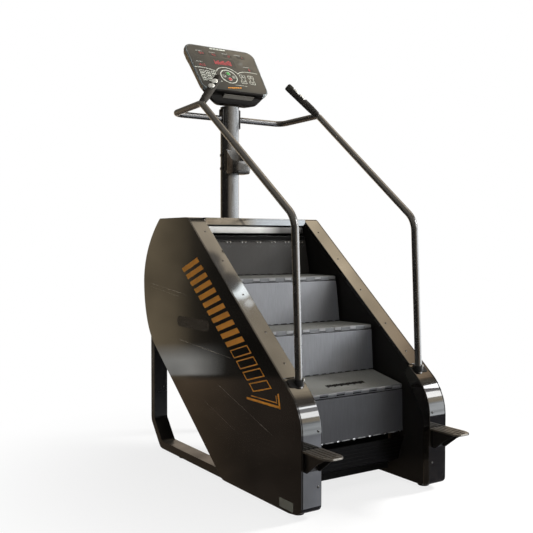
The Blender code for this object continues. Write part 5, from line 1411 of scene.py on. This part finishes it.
ceiling = by_angle(el, 45, 90, [(45, (0.55, 0.40, 0.28)), (45.7, (0.98, 0.72, 0.49)), (46.9, (1.30, 0.98, 0.67)), (49.5, (2.3, 1.90, 1.35)), (56, (1.9, 1.62, 1.22)), (62, (1.4, 1.2, 0.95)), (90, (0.9, 0.8, 0.7))])
cloud_ = nt.nodes.new("ShaderNodeTexNoise")
cloud_.inputs["Scale"].default_value = 14.0
cloud_.inputs["Detail"].default_value = 3.0
nt.links.new(tc.outputs["Generated"], cloud_.inputs["Vector"])
streak = remap(nt, cloud_.outputs["Fac"], 0.35, 0.65, 0.72, 1.22)
dim_el = by_angle(el, 8, 46, [(8, DIM), (20, (0.22, 0.20, 0.17)), (46, (0.30, 0.27, 0.22))])
sky = mix_rgb(nt, remap(nt, el, 9.0, 15.0, 0.0, 1.0), level, dim_el)
sky = mix_rgb(nt, math_node(nt, "MULTIPLY", gate(az, 34.4, 35.6, 53, 57), remap(nt, el, 9.0, 13.0, 0.0, 1.0)), sky, glass)
sky = mix_rgb(nt, math_node(nt, "MULTIPLY", gate(az, 120, 128, 155, 162), gate(el, 8, 11, 20, 26)), sky, tuple(c / PEAK for c in (0.80, 0.66, 0.53)))
sky = mix_rgb(nt, remap(nt, el, 43.9, 45.1, 0.0, 1.0), sky, mix_rgb(nt, gate(az, 60, 78, 122, 140), tuple(c / PEAK for c in (0.34, 0.31, 0.27)), ceiling))
sky = mix_rgb(nt, math_node(nt, "MULTIPLY", gate(el, -9.75, -9.6, -8.6, -7.4), remap(nt, az, -152.0, -149.6, 1.0, 0.0)), sky, tuple(c / PEAK for c in (0.80, 0.79, 0.75)))
sky = mix_rgb(nt, remap(nt, el, -10.1, -9.75, 1.0, 0.0), sky, below)
for (dx, dy, dz), rad, colour in (((0.521, 0.133, 0.843), 0.75, (8.0, 8.6, 8.8)), ((0.514, 0.146, 0.845), 0.40, (6.0, 6.3, 6.4)), ((0.530, 0.112, 0.841), 0.35, (5.5, 5.6, 5.6)),
                                  ((0.487, 0.186, 0.853), 0.9, (0.25, 0.24, 0.24)), ((0.494, 0.170, 0.853), 0.7, (0.3, 0.3, 0.3)), ((0.507, 0.148, 0.849), 1.0, (0.2, 0.2, 0.2))):
    dn = nt.nodes.new("ShaderNodeVectorMath")
    dn.operation = "DOT_PRODUCT"
    nt.links.new(tc.outputs["Generated"], dn.inputs[0])
    dn.inputs[1].default_value = Vector((dx, dy, dz)).normalized()
    edge0, edge1 = math.cos(math.radians(rad * 1.15)), math.cos(math.radians(rad * 0.80))
    sky = mix_rgb(nt, remap(nt, dn.outputs["Value"], edge0, edge1, 0.0, 1.0), sky, tuple(c / PEAK for c in colour))
sky = mix_rgb(nt, 1.0, sky, streak, "MULTIPLY")
b_g = nt.nodes.new("ShaderNodeBackground")
nt.links.new(sky, b_g.inputs["Color"])
b_g.inputs["Strength"].default_value = PEAK
b_c = nt.nodes.new("ShaderNodeBackground")
b_c.inputs["Color"].default_value = (1, 1, 1, 1)
b_c.inputs["Strength"].default_value = 1.0
b_d = nt.nodes.new("ShaderNodeBackground")
b_d.inputs["Color"].default_value = (0.97, 0.985, 1.0, 1)
b_d.inputs["Strength"].default_value = 0.10
m1, m2 = nt.nodes.new("ShaderNodeMixShader"), nt.nodes.new("ShaderNodeMixShader")
nt.links.new(lp.outputs["Is Glossy Ray"], m1.inputs[0])
nt.links.new(b_d.outputs[0], m1.inputs[1])
nt.links.new(b_g.outputs[0], m1.inputs[2])
nt.links.new(lp.outputs["Is Camera Ray"], m2.inputs[0])
nt.links.new(m1.outputs[0], m2.inputs[1])
nt.links.new(b_c.outputs[0], m2.inputs[2])
nt.links.new(m2.outputs[0], out_.inputs["Surface"])


def area(name, loc, target, sx, sy, power, colour=(1, 1, 1), glossy=True):
    ld = bpy.data.lights.new(name, "AREA")
    ld.shape, ld.size, ld.size_y, ld.energy, ld.color = "RECTANGLE", sx, sy, power, colour
    o = bpy.data.objects.new(name, ld)
    o.location = loc
    o.rotation_mode = "QUATERNION"
    o.rotation_quaternion = (Vector(target) - Vector(loc)).to_track_quat("-Z", "Y")
    scene.collection.objects.link(o)
    o.visible_glossy = glossy
    return o


area("right_key", (4.6, -1.2, 2.5), (0.0, -0.1, 0.7), 0.9, 0.9, 600, (1.0, 0.99, 0.97), False)
area("top_soft", (-0.3, -1.8, 4.4), (0.0, -0.2, 0.6), 2.6, 2.6, 55, (1.0, 0.98, 0.95), False)
area("front_fill", (-1.2, -4.8, 2.0), (0.0, -0.3, 0.8), 2.0, 2.0, 7, (0.96, 0.98, 1.0), False)
for nm_, el_, high, power in (("window_lower", 25.0, 3.15, 440), ("window_upper", 37.6, 1.0, 175)):
    a_, e_ = math.radians(44.5), math.radians(el_)
    pane = area(nm_, (20 * math.sin(a_) * math.cos(e_), -0.8 - 20 * math.cos(a_) * math.cos(e_), 0.45 + 20 * math.sin(e_)), (0.0, -0.8, 0.45), 6.4, high, power, (0.975, 0.985, 1.0), True)
    pane.visible_diffuse = False
    pane.visible_camera = False
window = area("rail_window", (4.85, -2.47, 3.74), (0.0, 0.0, 1.2), 1.7, 1.0, 64, (0.97, 0.985, 1.0), True)
window.visible_diffuse = False
window.visible_camera = False

cd = bpy.data.cameras.new("camera")
cam = bpy.data.objects.new("camera", cd)
scene.collection.objects.link(cam)
scene.camera = cam
cd.sensor_width = 36.0
cd.lens = 789.5319 / 533 * 36.0
cd.clip_start, cd.clip_end = 0.05, 100
yaw, pitch, roll = math.radians(33.352521), math.radians(-1.877169), math.radians(0.105295)
fwd = Vector((math.sin(yaw) * math.cos(pitch), math.cos(yaw) * math.cos(pitch), math.sin(pitch)))
right = Vector((math.cos(yaw), -math.sin(yaw), 0))
upv = right.cross(fwd)
r2 = right * math.cos(roll) + upv * math.sin(roll)
u2 = -right * math.sin(roll) + upv * math.cos(roll)
rot = Matrix((r2, u2, -fwd)).transposed()
cam.matrix_world = Matrix.Translation((-2.2146, -3.0321 + DY, 1.1137)) @ rot.to_4x4()

scene.view_settings.view_transform = "Standard"
scene.view_settings.look = "None"
